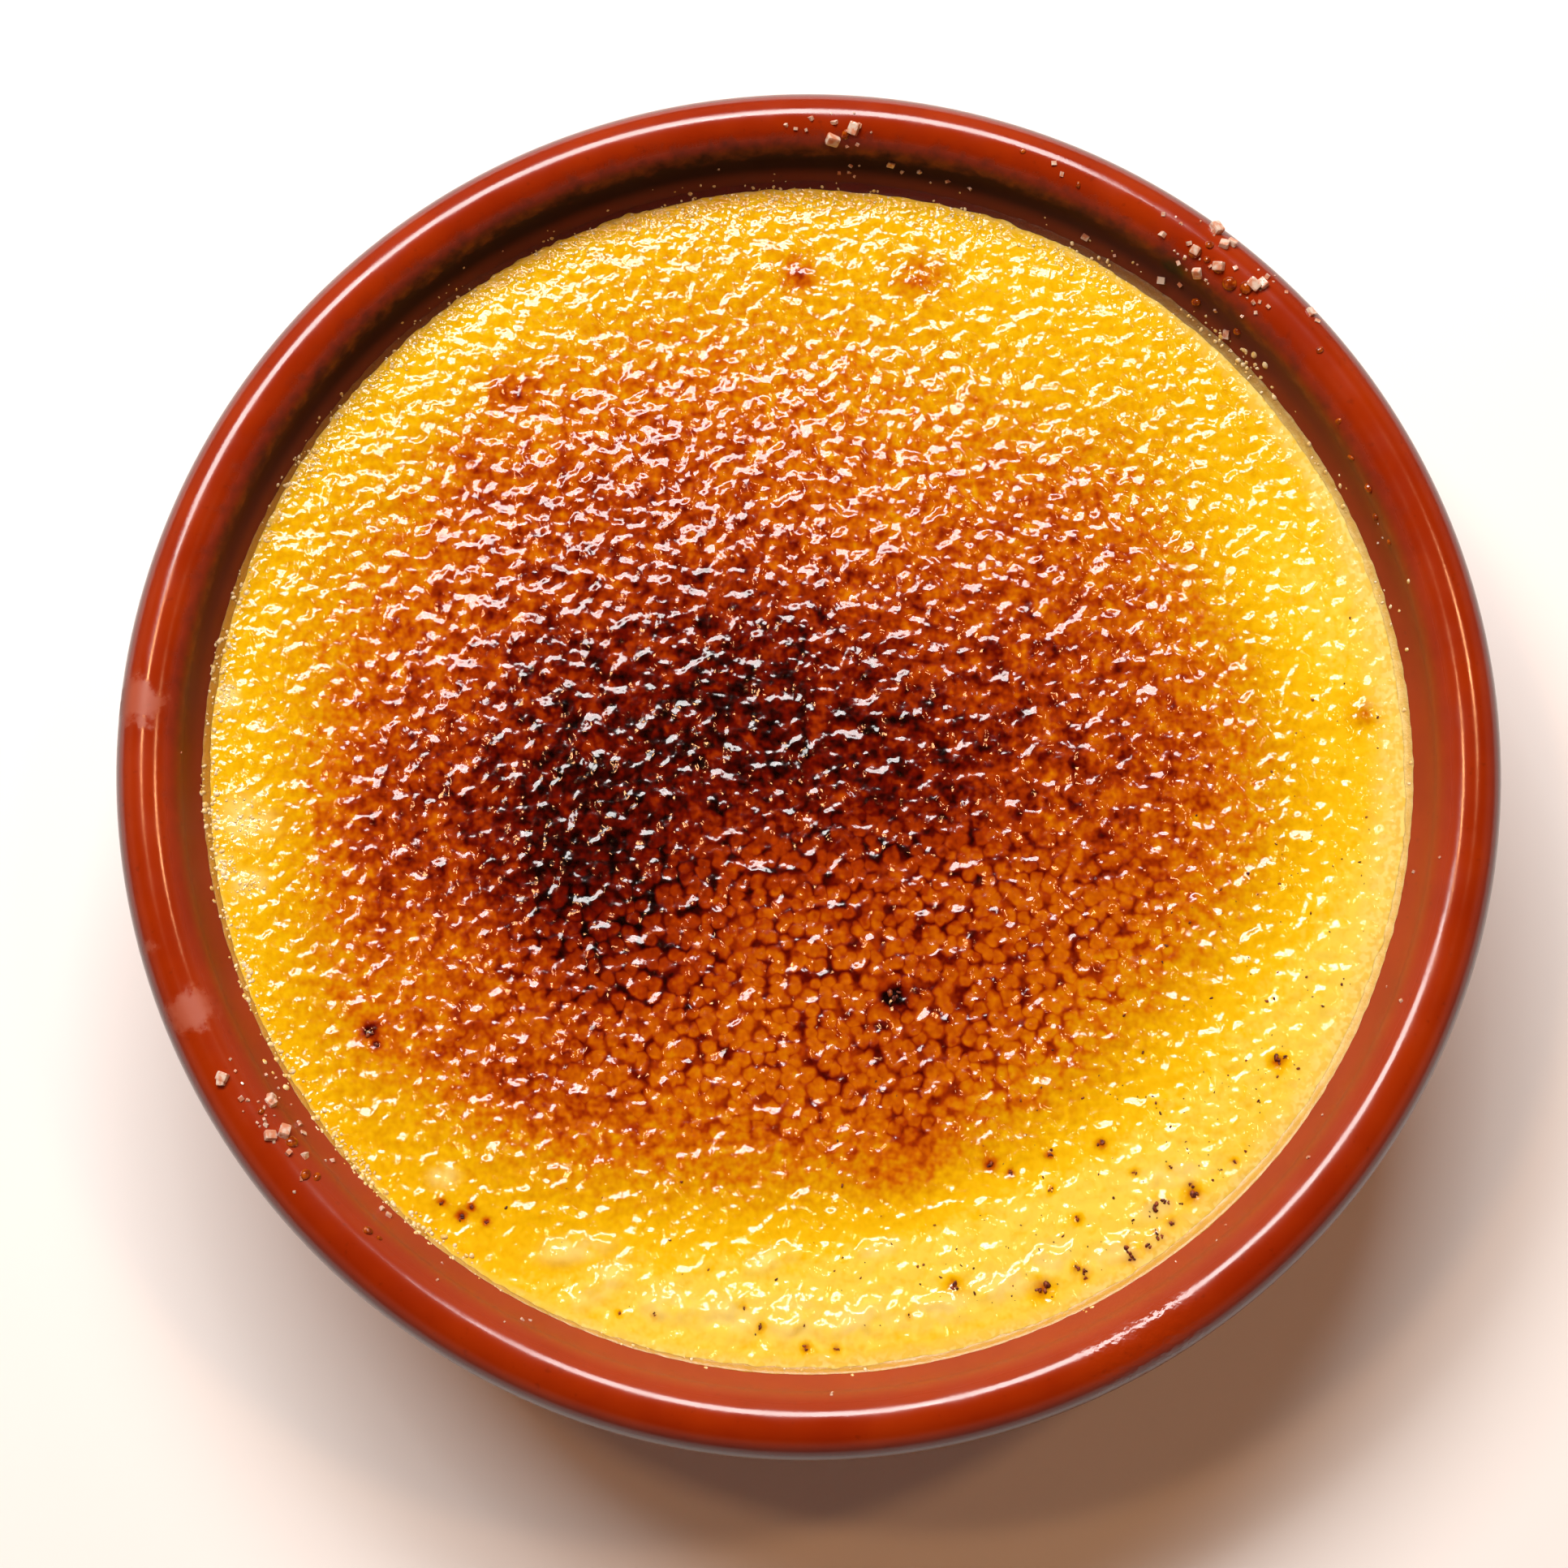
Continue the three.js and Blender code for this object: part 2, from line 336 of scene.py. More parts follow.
# %% [markdown]
# ## The clay dish
#
# The dish is thrown on a wheel, so its shape is one outline turned round an axis. It could be made with
# the Screw modifier, but a short function that turns the outline itself can also give the slight
# unevenness that a potter's hands leave, and it closes both poles. The outline follows the solid's: up the
# inner wall, over a round lip, in under it and down a full belly to the foot.

# %% Outlines of dish and custard
RIM_RADIUS = (dish_high.x - dish_low.x) / 2
DISH_HEIGHT = 35.0
LIP_ROLL = 3.3
LIP_UNDERCUT = 55
NECK_RADIUS = RIM_RADIUS - 3
NECK_DROP = 4.5
BASE_RADIUS = 50.0
HEEL_REACH = 13.0
FLOOR_THICKNESS = 6.0
CAVITY_FLOOR_RADIUS = 46.0
CAVITY_CORNER = (59.2, 17.0)
SHORE_RADIUS = custard_high.x
CLEARANCE = 0.3
FILL_RADIUS = SHORE_RADIUS + CLEARANCE
FILL_HEIGHT = custard_high.z
LIP_CENTRE = np.array([RIM_RADIUS - LIP_ROLL, DISH_HEIGHT - LIP_ROLL])


def bezier(points, steps):
    """Points along a curve with two or three handles, without its first point."""
    points = np.array(points, float)
    order = len(points) - 1
    t = np.linspace(0, 1, steps + 1)[1:, None]
    return sum(math.comb(order, k) * (1 - t) ** (order - k) * t**k * points[k] for k in range(order + 1))


def cavity_outline(steps):
    """From the axis along the inner floor and up the wall to the inner side of the lip."""
    lip_inside = LIP_CENTRE[0] - LIP_ROLL
    floor_end = (CAVITY_FLOOR_RADIUS, FLOOR_THICKNESS)
    fill = (FILL_RADIUS, FILL_HEIGHT)
    return np.vstack([
        [(0, FLOOR_THICKNESS), (20, FLOOR_THICKNESS), floor_end],
        bezier([floor_end, (CAVITY_CORNER[0] - 1.4, FLOOR_THICKNESS), CAVITY_CORNER], steps),
        bezier([CAVITY_CORNER, (CAVITY_CORNER[0] + 0.8, FILL_HEIGHT - 5), fill], steps),
        bezier([fill, (lip_inside, LIP_CENTRE[1] - 1.2), (lip_inside, LIP_CENTRE[1])], steps),
    ])


def lip_outline(steps):
    angles = np.radians(np.linspace(180, -LIP_UNDERCUT, steps + 1))[1:, None]
    return LIP_CENTRE + LIP_ROLL * np.hstack([np.cos(angles), np.sin(angles)])


def outside_outline(undercut, steps):
    """From under the lip in to the neck, down the belly and along the foot to the axis."""
    neck = (NECK_RADIUS, undercut[1] - NECK_DROP)
    belly = [neck, (NECK_RADIUS - 0.5, 0.4 * neck[1]), (BASE_RADIUS + HEEL_REACH, 0), (BASE_RADIUS, 0)]
    return np.vstack([
        bezier([undercut, (NECK_RADIUS + 0.2, undercut[1] - 1.6), neck], steps),
        bezier(belly, 3 * steps),
        [(25, 0), (0, 0)],
    ])


def turned(name, outline, sides, unevenness):
    """A closed mesh turned from an outline that starts and ends on the axis."""
    angles = np.linspace(0, 2 * np.pi, sides, endpoint=False)
    rings = outline[1:-1]
    radius = np.repeat(rings[:, 0], sides)
    height = np.repeat(rings[:, 1], sides)
    turn = np.tile(angles, len(rings))
    radius, height = unevenness(radius, height, turn)
    around = np.column_stack([radius * np.cos(turn), radius * np.sin(turn), height])
    points = np.vstack([around, [0, 0, outline[0][1]], [0, 0, outline[-1][1]]])
    first_pole, last_pole = len(around), len(around) + 1
    faces = []
    for side in range(sides):
        after = (side + 1) % sides
        faces.append((first_pole, side, after))
        for ring in range(len(rings) - 1):
            low = ring * sides
            faces.append((low + side, low + sides + side, low + sides + after, low + after))
        end = (len(rings) - 1) * sides
        faces.append((last_pole, end + after, end + side))
    mesh = bpy.data.meshes.new(name)
    mesh.from_pydata((points * MM).tolist(), [], faces)
    mesh.shade_smooth()
    return mesh


print("lip section", 2 * LIP_ROLL, "mm thick, its centre", LIP_CENTRE.round(2))

# %% Throw the dish
THROWN_WOBBLE = 0.12
DISH_SIDES = 256


def waves(turn, seed, counts):
    """Slow waves round the dish, from -1 to 1, that meet after one turn."""
    draw = np.random.default_rng(seed)
    phases = draw.uniform(0, 2 * np.pi, len(counts))
    sizes = draw.uniform(0.5, 1, len(counts))
    total = sum(size * np.cos(count * turn + phase) for size, count, phase in zip(sizes, counts, phases))
    return total / sizes.sum()


def thrown(radius, height, turn):
    """Hand-made unevenness: none at the foot, most at the lip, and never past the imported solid's reach."""
    share = np.clip(height / DISH_HEIGHT, 0, 1) * np.clip((radius - 55) / 10, 0, 1)
    radius = radius - THROWN_WOBBLE * share * (1 + waves(turn, 3, (2, 3, 5)))
    height = height - 0.5 * THROWN_WOBBLE * share * (1 + waves(turn, 4, (2, 3, 7)))
    return radius, height


def put(name, mesh, *materials):
    """A piece at the origin with its place in its mesh."""
    piece = bpy.data.objects.new(name, mesh)
    for material in materials:
        piece.data.materials.append(material)
    bpy.context.scene.collection.objects.link(piece)
    return piece


lip = lip_outline(40)
dish_outline = np.vstack([cavity_outline(10), lip, outside_outline(lip[-1], 10)])
glazed_dish = put("glazed_dish", turned("glazed_dish", dish_outline, DISH_SIDES, thrown))
print("dish mesh:", len(glazed_dish.data.polygons), "faces")

# %% [markdown]
# ## Glaze
#
# The clay is red, under a clear glaze that turns it a warm brown. Three things keep it from looking like
# plastic: the colour drifts in faint clouds, the glaze has a very slight swell that bends each highlight,
# and it carries the marks of a kitchen. Sugar dust has dried on the lip in dull patches, and a film of cream
# clings to the wall just above the custard. Light and shade are painted into the colour as well: the far
# wall, which faces away from the window, is painted near black and made rough, the outer edge of the lip is
# painted darker where it turns down, and the near wall is painted lighter as a sheen where it faces the
# window. The foot is bare clay.

# %% Glaze colours and marks
GLAZED_CLAY = (tone(150, 39, 3), tone(163, 48, 3))
BARE_CLAY = tone(186, 104, 66)
# what lies on the clay, from the bottom up: its colour and how fully it covers. The far wall shade, the near
# wall sheen and the outer lip shade are painted light and shade, not marks on the glaze
GLAZE_LAYERS = {
    "specks": (tone(116, 30, 2), 0.35),
    "dried sugar": (tone(206, 122, 88), 0.3),
    "cream film": (tone(120, 56, 6), 0.5),
    "far_wall_shade": (tone(26, 1, 0), 0.95),
    "scorch": (tone(24, 2, 1), 0.9),
    "near_wall_sheen": (tone(184, 84, 48), 0.3),
    "outer lip shade": (tone(56, 8, 1), 0.9),
}
# where each mark is: its direction and half width in degrees, and where it starts and ends, in millimetres
DUSTY_PATCHES = (
    {"direction": 176, "across": 5.0, "radius": 67.5},
    {"direction": 203.5, "across": 4.5, "radius": 66.5},
    {"direction": 197, "across": 2.0, "radius": 68.5},
)
SCORCHED_SPOT = {"direction": 53.5, "across": 2.6, "radius": 63.6, "height": 32}
GRITTY_ARC = (299, 7.0)
FILMED_WALL, FILM_FADES_UP = (140, 85), (27.2, 26.0)
# painted shade: the far inner wall, which faces away from the window, is painted near black, a little less
# so low down
SHADED_FAR_WALL, FAR_SHADE_FADES_UP = (103, 113), (32.7, 28.8)
FAR_SHADE_THINS_DOWN, FAR_SHADE_FADES_OUT = (28.6, 30.2), (66.0, 64.4)
# painted sheen: the near inner wall, which faces the window, is painted lighter as its broad reflection
SHEENED_NEAR_WALL, NEAR_SHEEN_FADES_OUT = (-80, 110), (66.4, 64.6)
DULL_WALL_FADES_OUT = (64.9, 63.6)
# painted shade: the outer edge of the lip, where it turns down away from the light, is painted darker
OUTER_SHADE_WIDTH = 2.0
FOOT_HEIGHT = 1.2
SWELL_HEIGHT = 0.018
PIT_DEPTH = 0.0035
GRIT_HEIGHT = 0.1


def towards(tree, place, direction, half_width):
    """1 in one direction round the dish, falling to 0 half_width degrees to either side."""
    turn = math.radians(direction)
    unit = vector(tree, "NORMALIZE", vector(tree, "MULTIPLY", place, (1, 1, 0)))
    along = vector(tree, "DOT_PRODUCT", unit, (math.cos(turn), math.sin(turn), 0))
    return blend(tree, along, math.cos(math.radians(half_width)), 1.0)


def from_axis(tree, place):
    return vector(tree, "LENGTH", vector(tree, "MULTIPLY", place, (1, 1, 0)))


def patch_on_lip(tree, place, ragged, direction, across, radius, height=DISH_HEIGHT - 1):
    """1 inside a patch with a ragged edge, 0 outside."""
    turn = math.radians(direction)
    gap = vector(tree, "DISTANCE", place, (radius * math.cos(turn), radius * math.sin(turn), height))
    return blend(tree, plus(tree, gap, times(tree, ragged, 4)), across / 2 + 2.6, across / 2 + 1.2)


print("on the glaze:", ", ".join(GLAZE_LAYERS))


# %% Glaze material
def glaze():
    material, tree, shader, place = new_finish("red_brown_glaze")
    height = add_node(tree, "ShaderNodeSeparateXYZ", {0: place}).outputs[2]
    side = from_axis(tree, place)
    inside = blend(tree, height, FILL_HEIGHT - 2, FILL_HEIGHT)
    bare = blend(tree, height, FOOT_HEIGHT + 0.4, FOOT_HEIGHT)
    ragged = grain(tree, place, 1.8, 4, 0.6)

    dust = 0.0
    for patch in DUSTY_PATCHES:
        dust = calc(tree, "MAXIMUM", dust, patch_on_lip(tree, place, ragged, **patch))
    film = blend(tree, minus(tree, height, times(tree, ragged, 3.0)), *FILM_FADES_UP)
    film = times(tree, towards(tree, place, *FILMED_WALL), film, inside)
    # painted shade on the far inner wall, which is also made rough so that it reflects little
    far_wall_shade = blend(tree, minus(tree, height, times(tree, ragged, 5.0)), *FAR_SHADE_FADES_UP)
    far_wall_shade = times(tree, far_wall_shade, blend(tree, height, *FAR_SHADE_THINS_DOWN, 0.6, 1.0))
    far_wall_shade = times(tree, far_wall_shade, blend(tree, side, *FAR_SHADE_FADES_OUT))
    far_wall_shade = times(tree, towards(tree, place, *SHADED_FAR_WALL), far_wall_shade, inside)
    scorched = patch_on_lip(tree, place, ragged, **SCORCHED_SPOT)
    # painted sheen on the near inner wall, where it faces the window
    near_wall_sheen = times(tree, towards(tree, place, *SHEENED_NEAR_WALL), blend(tree, side, *NEAR_SHEEN_FADES_OUT), inside)

    clouds = blend(tree, grain(tree, place, 9, 3), 0.3, 0.7)
    specks = blend(tree, grain(tree, place, 0.8, 1), 0.66, 0.8)
    # painted shade on the outer edge of the lip
    outer_lip_shade = blend(tree, side, RIM_RADIUS - OUTER_SHADE_WIDTH, RIM_RADIUS)
    body = colour_mix(tree, clouds, *GLAZED_CLAY)
    places = (specks, dust, film, far_wall_shade, scorched, near_wall_sheen, outer_lip_shade)
    for where, (colour, strength) in zip(places, GLAZE_LAYERS.values()):
        body = layer(tree, body, where, strength, colour)
    plug(tree, colour_mix(tree, bare, body, BARE_CLAY), shader.inputs["Base Color"])

    dull_wall = times(tree, inside, blend(tree, side, *DULL_WALL_FADES_OUT, 0.0, 0.6))
    dull = calc(tree, "MAXIMUM", bare, times(tree, dust, 0.5), dull_wall, times(tree, far_wall_shade, 1.4))
    wear = blend(tree, grain(tree, place, 5, 2), 0.3, 0.75, 0.13, 0.2)
    plug(tree, plus(tree, wear, times(tree, dull, 0.6), clamp=True), shader.inputs["Roughness"])
    set_inputs(shader, {"IOR": 1.52})
    shader.distribution = "GGX"

    swell = times(tree, grain(tree, place, 3.2, 1), SWELL_HEIGHT)
    pits = times(tree, grain(tree, place, 0.45, 1), PIT_DEPTH)
    grit = times(tree, grain(tree, place, 0.9, 2), GRIT_HEIGHT, towards(tree, place, *GRITTY_ARC))
    plug(tree, relief_of(tree, plus(tree, swell, pits, grit)), shader.inputs["Normal"])
    return material


glazed_dish.data.materials.append(glaze())
print("glaze on", glazed_dish.name)

# %% [markdown]
# ## Custard
#
# Baked cream fills the dish and climbs its wall in a small meniscus, which ends in a thin rounded edge.
# That edge is never even: it is pulled up here and there where the cream bubbled, so its height wanders
# round the dish. The custard is turned from an outline like the dish, with its sides a hair inside the
# wall, except at the top, where it reaches just into the clay so that no gap shows.

# %% Pour the custard
RING_HEIGHT = 27.75
RING_WIDTH = 0.9
RING_INNER = SHORE_RADIUS - RING_WIDTH
SEAT_HEIGHT = 26.5
INTO_WALL = 0.45
CUSTARD_SIDES = 1024
EDGE_WANDER = 0.22


def custard_outline(steps):
    wall = cavity_outline(steps)
    wall = wall[wall[:, 1] < FILL_HEIGHT - 2]
    sides = np.column_stack([np.maximum(wall[:, 0] - CLEARANCE, 0), wall[:, 1] + CLEARANCE])
    edge_foot = (SHORE_RADIUS + INTO_WALL, FILL_HEIGHT - 1.3)
    edge_top = (SHORE_RADIUS + INTO_WALL, FILL_HEIGHT + 0.12)
    edge_bead = (SHORE_RADIUS + 0.2, FILL_HEIGHT + 0.1)
    meniscus_top = (SHORE_RADIUS - 0.1, FILL_HEIGHT - 0.15)
    meniscus_foot = (SHORE_RADIUS - 0.45, RING_HEIGHT + 0.06)
    ring = (RING_INNER, RING_HEIGHT)
    under_sugar = [(RING_INNER - 0.8, RING_HEIGHT - 0.12), (RING_INNER - 1.6, SEAT_HEIGHT)]
    return np.vstack([
        sides,
        [edge_foot, edge_top],
        bezier([edge_top, edge_bead, meniscus_top], 4),
        bezier([meniscus_top, meniscus_foot, ring], 10),
        under_sugar,
        [(20, SEAT_HEIGHT), (0, SEAT_HEIGHT)],
    ])


def settled(radius, height, turn):
    """The custard's edge stands higher or lower round the dish, and its bare ring swells a little."""
    on_surface = height > RING_HEIGHT - 0.5
    near_wall = np.clip((radius - RING_INNER) / RING_WIDTH, 0, 1) * on_surface
    long_waves = waves(turn, 11, (2, 3, 5, 8))
    short_waves = waves(turn, 12, (31, 64, 109, 151, 197, 241))
    height = height + near_wall**1.5 * EDGE_WANDER * (0.6 * long_waves + 0.4 * short_waves)
    ring = np.exp(-(((radius - RING_INNER) / 1.2) ** 2)) * on_surface
    height = height + 0.05 * ring * waves(turn, 13, (9, 14, 22, 37))
    return radius, height


custard_mesh = turned("baked_custard", custard_outline(8)[::-1], CUSTARD_SIDES, settled)
baked_custard = put("baked_custard", custard_mesh)
print("custard mesh:", len(baked_custard.data.polygons), "faces, edge at", round(FILL_HEIGHT, 2), "mm")


# %% Custard material
CREAM = {
    "deep": tone(238, 204, 92),
    "pale": tone(252, 228, 136),
    "near side": tone(222, 172, 50),
    "old side": tone(206, 146, 14),
    "shore": tone(190, 130, 46),
    # the far edge: reddish-brown custard, painted darker still as the shade of the far wall
    "far_edge_dark": tone(98, 14, 1),
}
NEAR_SIDE, OLD_SIDE, DARK_FAR_EDGE_SIDE = (-90, 75), (150, 105), (95, 75)


def baked_cream():
    material, tree, shader, place = new_finish("baked_cream")
    near, old = towards(tree, place, *NEAR_SIDE), towards(tree, place, *OLD_SIDE)
    ragged = times(tree, minus(tree, grain(tree, place, 1.1, 3), 0.5), 1.2)
    reach = plus(tree, from_axis(tree, place), times(tree, ragged, 0.8))
    shore = blend(tree, reach, SHORE_RADIUS - 0.9, SHORE_RADIUS + 0.1)
    # reddish-brown band along the far edge, partly browned custard and partly painted shade from the far
    # wall
    far_edge_dark = blend(tree, reach, SHORE_RADIUS - 1.5, SHORE_RADIUS - 0.6)
    far_edge_dark = times(tree, towards(tree, place, *DARK_FAR_EDGE_SIDE), far_edge_dark)

    clouds = blend(tree, grain(tree, place, 1.4, 4, 0.65), 0.35, 0.65)
    cream = colour_mix(tree, clouds, CREAM["deep"], CREAM["pale"])
    cream = layer(tree, cream, near, 0.9, CREAM["near side"])
    cream = colour_mix(tree, blend(tree, plus(tree, old, ragged), 0.15, 0.6), cream, CREAM["old side"])
    cream = layer(tree, cream, shore, 0.5, CREAM["shore"])
    cream = colour_mix(tree, far_edge_dark, cream, CREAM["far_edge_dark"])
    plug(tree, cream, shader.inputs["Base Color"])

    skin = times(tree, grain(tree, place, 0.4, 3, 0.7), blend(tree, near, 0.0, 0.6, 0.09, 0.05))
    plug(tree, relief_of(tree, skin), shader.inputs["Normal"])
    plug(tree, blend(tree, near, 0.0, 0.6, 0.5, 0.3), shader.inputs["Roughness"])
    let_light_in(shader, 0.6, (1.0, 0.8, 0.6))
    return material


baked_custard.data.materials.append(baked_cream())
print("cream on", baked_custard.name)

# %% [markdown]
# ## Caramel crust: the sheet
#
# The crust is sugar sprinkled on the custard and melted with a torch. It sets as a thin sheet of glassy
# pebbles. First comes a plain sheet: even triangles from the middle to the edge, because a turned disc
# would crowd its points in the middle and starve the rim, and the pebbles need the same fineness all over.
# Its edge is ragged, and it thins there until it dips under the custard, close to the wall.

# %% Lay the sugar sheet
SHEET_RINGS = 176
SHEET_EDGE = 61.3
EDGE_RAGGED = 0.2
# how much farther out the edge reaches, in millimetres, and round which direction
EDGE_REACHES = ((0.45, -150, 95), (-0.05, 0, 60))
MENISCUS_HEIGHT = 0.3
MENISCUS_CURVE = 2.2
SUGAR_FLOOR = crust_low.z
SUGAR_MIDDLE = 27.25
SUGAR_SHOULDER = 0.62
SHOULDER_SPAN = (42, 57)
SHORE_SPAN = (3.4, 0.8)
PROUD_OF_CUSTARD = 0.2
EDGE_DIP = 0.24
DIP_WIDTH = 0.9


def ramp(value, low, high):
    """0 below low, 1 above high, and smooth between."""
    share = np.clip((value - low) / (high - low), 0, 1)
    return share * share * (3 - 2 * share)


def even_disc(rings):
    """Ring k has 6k points. Returns each point's share of the radius, its direction, and the faces."""
    share, turn, faces = [np.zeros(1)], [np.zeros(1)], []
    for ring in range(1, rings + 1):
        around, inside = 6 * ring, max(1, 6 * (ring - 1))
        share.append(np.full(around, ring / rings))
        turn.append(np.arange(around) / around * 2 * np.pi)
        here = 1 + 3 * ring * (ring - 1)
        within = max(0, here - inside)
        for n in range(around):
            after = here + (n + 1) % around
            across = n - n // ring
            faces.append((here + n, after, within + across % inside))
            if n % ring != ring - 1:
                faces.append((after, within + (across + 1) % inside, within + across % inside))
    return np.concatenate(share), np.concatenate(turn), faces


def around_direction(turn, direction, half_width):
    """1 in one direction, given in degrees, falling away to both sides."""
    gap = (np.degrees(turn) - direction + 180) % 360 - 180
    return np.exp(-((gap / half_width) ** 2))


def ragged_edge(turn):
    """Radius of the crust's edge: nearest the wall on the near left, and farther off on the right."""
    small = waves(turn, 21, (41, 58, 77, 103, 131))
    slow = waves(turn, 22, (4, 7, 11, 17))
    edge = SHEET_EDGE + EDGE_RAGGED * (0.6 * small + 0.4 * slow)
    edge = edge + sum(reach * around_direction(turn, *where) for reach, *where in EDGE_REACHES)
    return np.minimum(edge, SHORE_RADIUS + 0.2)


def custard_surface(radius):
    """Height of the custard's bare ring and meniscus."""
    climb = np.clip((radius - RING_INNER) / RING_WIDTH, 0, 1)
    return RING_HEIGHT + MENISCUS_HEIGHT * climb**MENISCUS_CURVE


BLISTERS = (
    {"at": (-57.3, -6.4), "long": 2.3, "wide": 2.9, "turn": 60},
    {"at": (-59.6, 6.5), "long": 1.4, "wide": 1.5, "turn": 0},
    {"at": (-59.4, -11), "long": 1.3, "wide": 1.3, "turn": 0},
    {"at": (-56.8, -13), "long": 1.8, "wide": 1.4, "turn": 20},
    {"at": (-36.5, -42.4), "long": 1.5, "wide": 1.2, "turn": 10},
    {"at": (-23.4, -49.6), "long": 3.6, "wide": 1.3, "turn": 8},
    {"at": (-20.6, -53), "long": 3.8, "wide": 1.4, "turn": 35},
    {"at": (-14, -55), "long": 3.0, "wide": 1.8, "turn": -8},
    {"at": (-7.5, -56), "long": 3.6, "wide": 2.0, "turn": 5},
    {"at": (-1.5, -56.5), "long": 3.2, "wide": 2.2, "turn": 10},
    {"at": (4.6, -56.8), "long": 4.2, "wide": 2.1, "turn": 12},
    {"at": (12.8, -55.6), "long": 4.2, "wide": 1.5, "turn": 14},
    {"at": (19.5, -53), "long": 3.4, "wide": 1.6, "turn": 20},
    {"at": (24, -50.6), "long": 2.6, "wide": 1.7, "turn": 30},
    {"at": (31.5, -49.4), "long": 5.0, "wide": 1.3, "turn": 25},
    {"at": (34.5, -45.8), "long": 2.4, "wide": 1.1, "turn": 20},
    {"at": (36.5, -42.2), "long": 4.6, "wide": 1.3, "turn": 14},
    {"at": (-4, -50.6), "long": 2.4, "wide": 1.0, "turn": 20},
    {"at": (7, -49.6), "long": 2.2, "wide": 0.9, "turn": 15},
)
BLISTER_HEIGHT = 0.12
BLISTER_SHINE = 0.45
BARE_ARCS = ((3.0, -5, 52), (0.8, -90, 35), (0.5, 150, 60))


def oval_reach(x, y, oval):
    """0 in the middle of an oval, 1 at its edge."""
    turn = math.radians(oval["turn"])
    across, along = x - oval["at"][0], y - oval["at"][1]
    u = (across * math.cos(turn) + along * math.sin(turn)) / oval["long"]
    v = (along * math.cos(turn) - across * math.sin(turn)) / oval["wide"]
    return u * u + v * v


def blistered(x, y):
    """Where the crust is puffed up, 0 to 1."""
    return np.max([np.exp(-1.2 * oval_reach(x, y, blister) ** 1.5) for blister in BLISTERS], axis=0)


def sugar_sheet():
    share, turn, faces = even_disc(SHEET_RINGS)
    edge = ragged_edge(turn)
    radius = share * edge
    top = SUGAR_MIDDLE + SUGAR_SHOULDER * ramp(radius, *SHOULDER_SPAN)
    to_shore = ramp(radius, edge - SHORE_SPAN[0], edge - SHORE_SPAN[1])
    top = top * (1 - to_shore) + (custard_surface(radius) + PROUD_OF_CUSTARD) * to_shore
    top = top - EDGE_DIP * ramp(radius, edge - DIP_WIDTH, edge)
    around = 6 * SHEET_RINGS
    rim = slice(len(radius) - around, len(radius))
    under = np.column_stack([radius[rim] * np.cos(turn[rim]), radius[rim] * np.sin(turn[rim])])
    points = np.vstack([
        np.column_stack([radius * np.cos(turn), radius * np.sin(turn), top]),
        np.column_stack([under, np.full(around, SUGAR_FLOOR)]),
        [0, 0, SUGAR_FLOOR],
    ])
    first_rim, first_under, middle = len(radius) - around, len(radius), len(radius) + around
    for n in range(around):
        after = (n + 1) % around
        faces.append((first_rim + n, first_under + n, first_under + after, first_rim + after))
        faces.append((middle, first_under + after, first_under + n))
    mesh = bpy.data.meshes.new("caramel_sheet")
    mesh.from_pydata((points * MM).tolist(), [], faces)
    mesh.shade_smooth()
    return mesh, len(radius)


sheet_mesh, top_points = sugar_sheet()
caramel_sheet = put("caramel_sheet", sheet_mesh)
print("sheet:", len(sheet_mesh.polygons), "faces,", top_points, "points on top")

# %% [markdown]
# ## Where the torch burnt
#
# The torch went over the sugar in overlapping sweeps. Each sweep is an oval of heat: hottest in its
# middle, fading outwards, and turned the way the hand moved. Adding the sweeps gives a browning from 0,
# barely melted, to 1, burnt black. It is stored on the sheet's points, and so is everything else that
# differs from place to place: where the sugar is thin, frothed or puffed into blisters, and where the
# blisters shine. Painting a picture would also work, but a list can be reasoned about and changed.

# %% Torch sweeps
BURNT_FLECKS = (
    (23.1, -53.4, 1.1), (14.3, -53.1, 0.8), (18.2, -41.2, 0.6), (29.3, -39.2, 0.6), (24.1, -40.3, 0.45),
    (20.2, -42.1, 0.45), (24.2, -43.7, 0.4), (34.6, -45.5, 0.9), (35.6, -45.1, 0.6), (38.4, -44.2, 0.9),
    (38.2, -43.2, 0.5), (36.1, -47.0, 0.5), (26.8, -46.6, 0.55), (31.7, -49.7, 0.8), (32.1, -50.5, 0.7),
    (33.8, -49.4, 0.6), (34.9, -48.4, 0.6), (34.6, -47.9, 0.4), (26.6, -51.4, 0.5), (27.5, -52.5, 0.4),
    (27.4, -51.7, 0.45), (-0.3, -59.3, 0.5), (2.7, -59.4, 0.4), (9.9, -56.2, 0.3), (42.6, -41.0, 0.4),
    (32.5, -42.1, 0.4), (36.2, -41.5, 0.35), (-34.7, -46.3, 0.6), (-33.7, -45.5, 0.5), (-32.2, -46.9, 0.4),
    (-36.6, -45.0, 0.4), (-4.8, -57.3, 0.45), (-6.4, -55.4, 0.35), (-15.4, -56.0, 0.3), (-18.8, -55.9, 0.3),
    (-44.3, -27.9, 0.8), (-43.6, -29.2, 0.5), (47.1, -31.0, 0.8), (47.9, -30.6, 0.4), (8.8, -24.3, 1.1),
)
SCORCH_WIDTH = 1.05
SMOOTH_SPOT = {"at": (10, -41), "long": 3.5, "wide": 5, "turn": -30}
SMOOTHED = 0.75
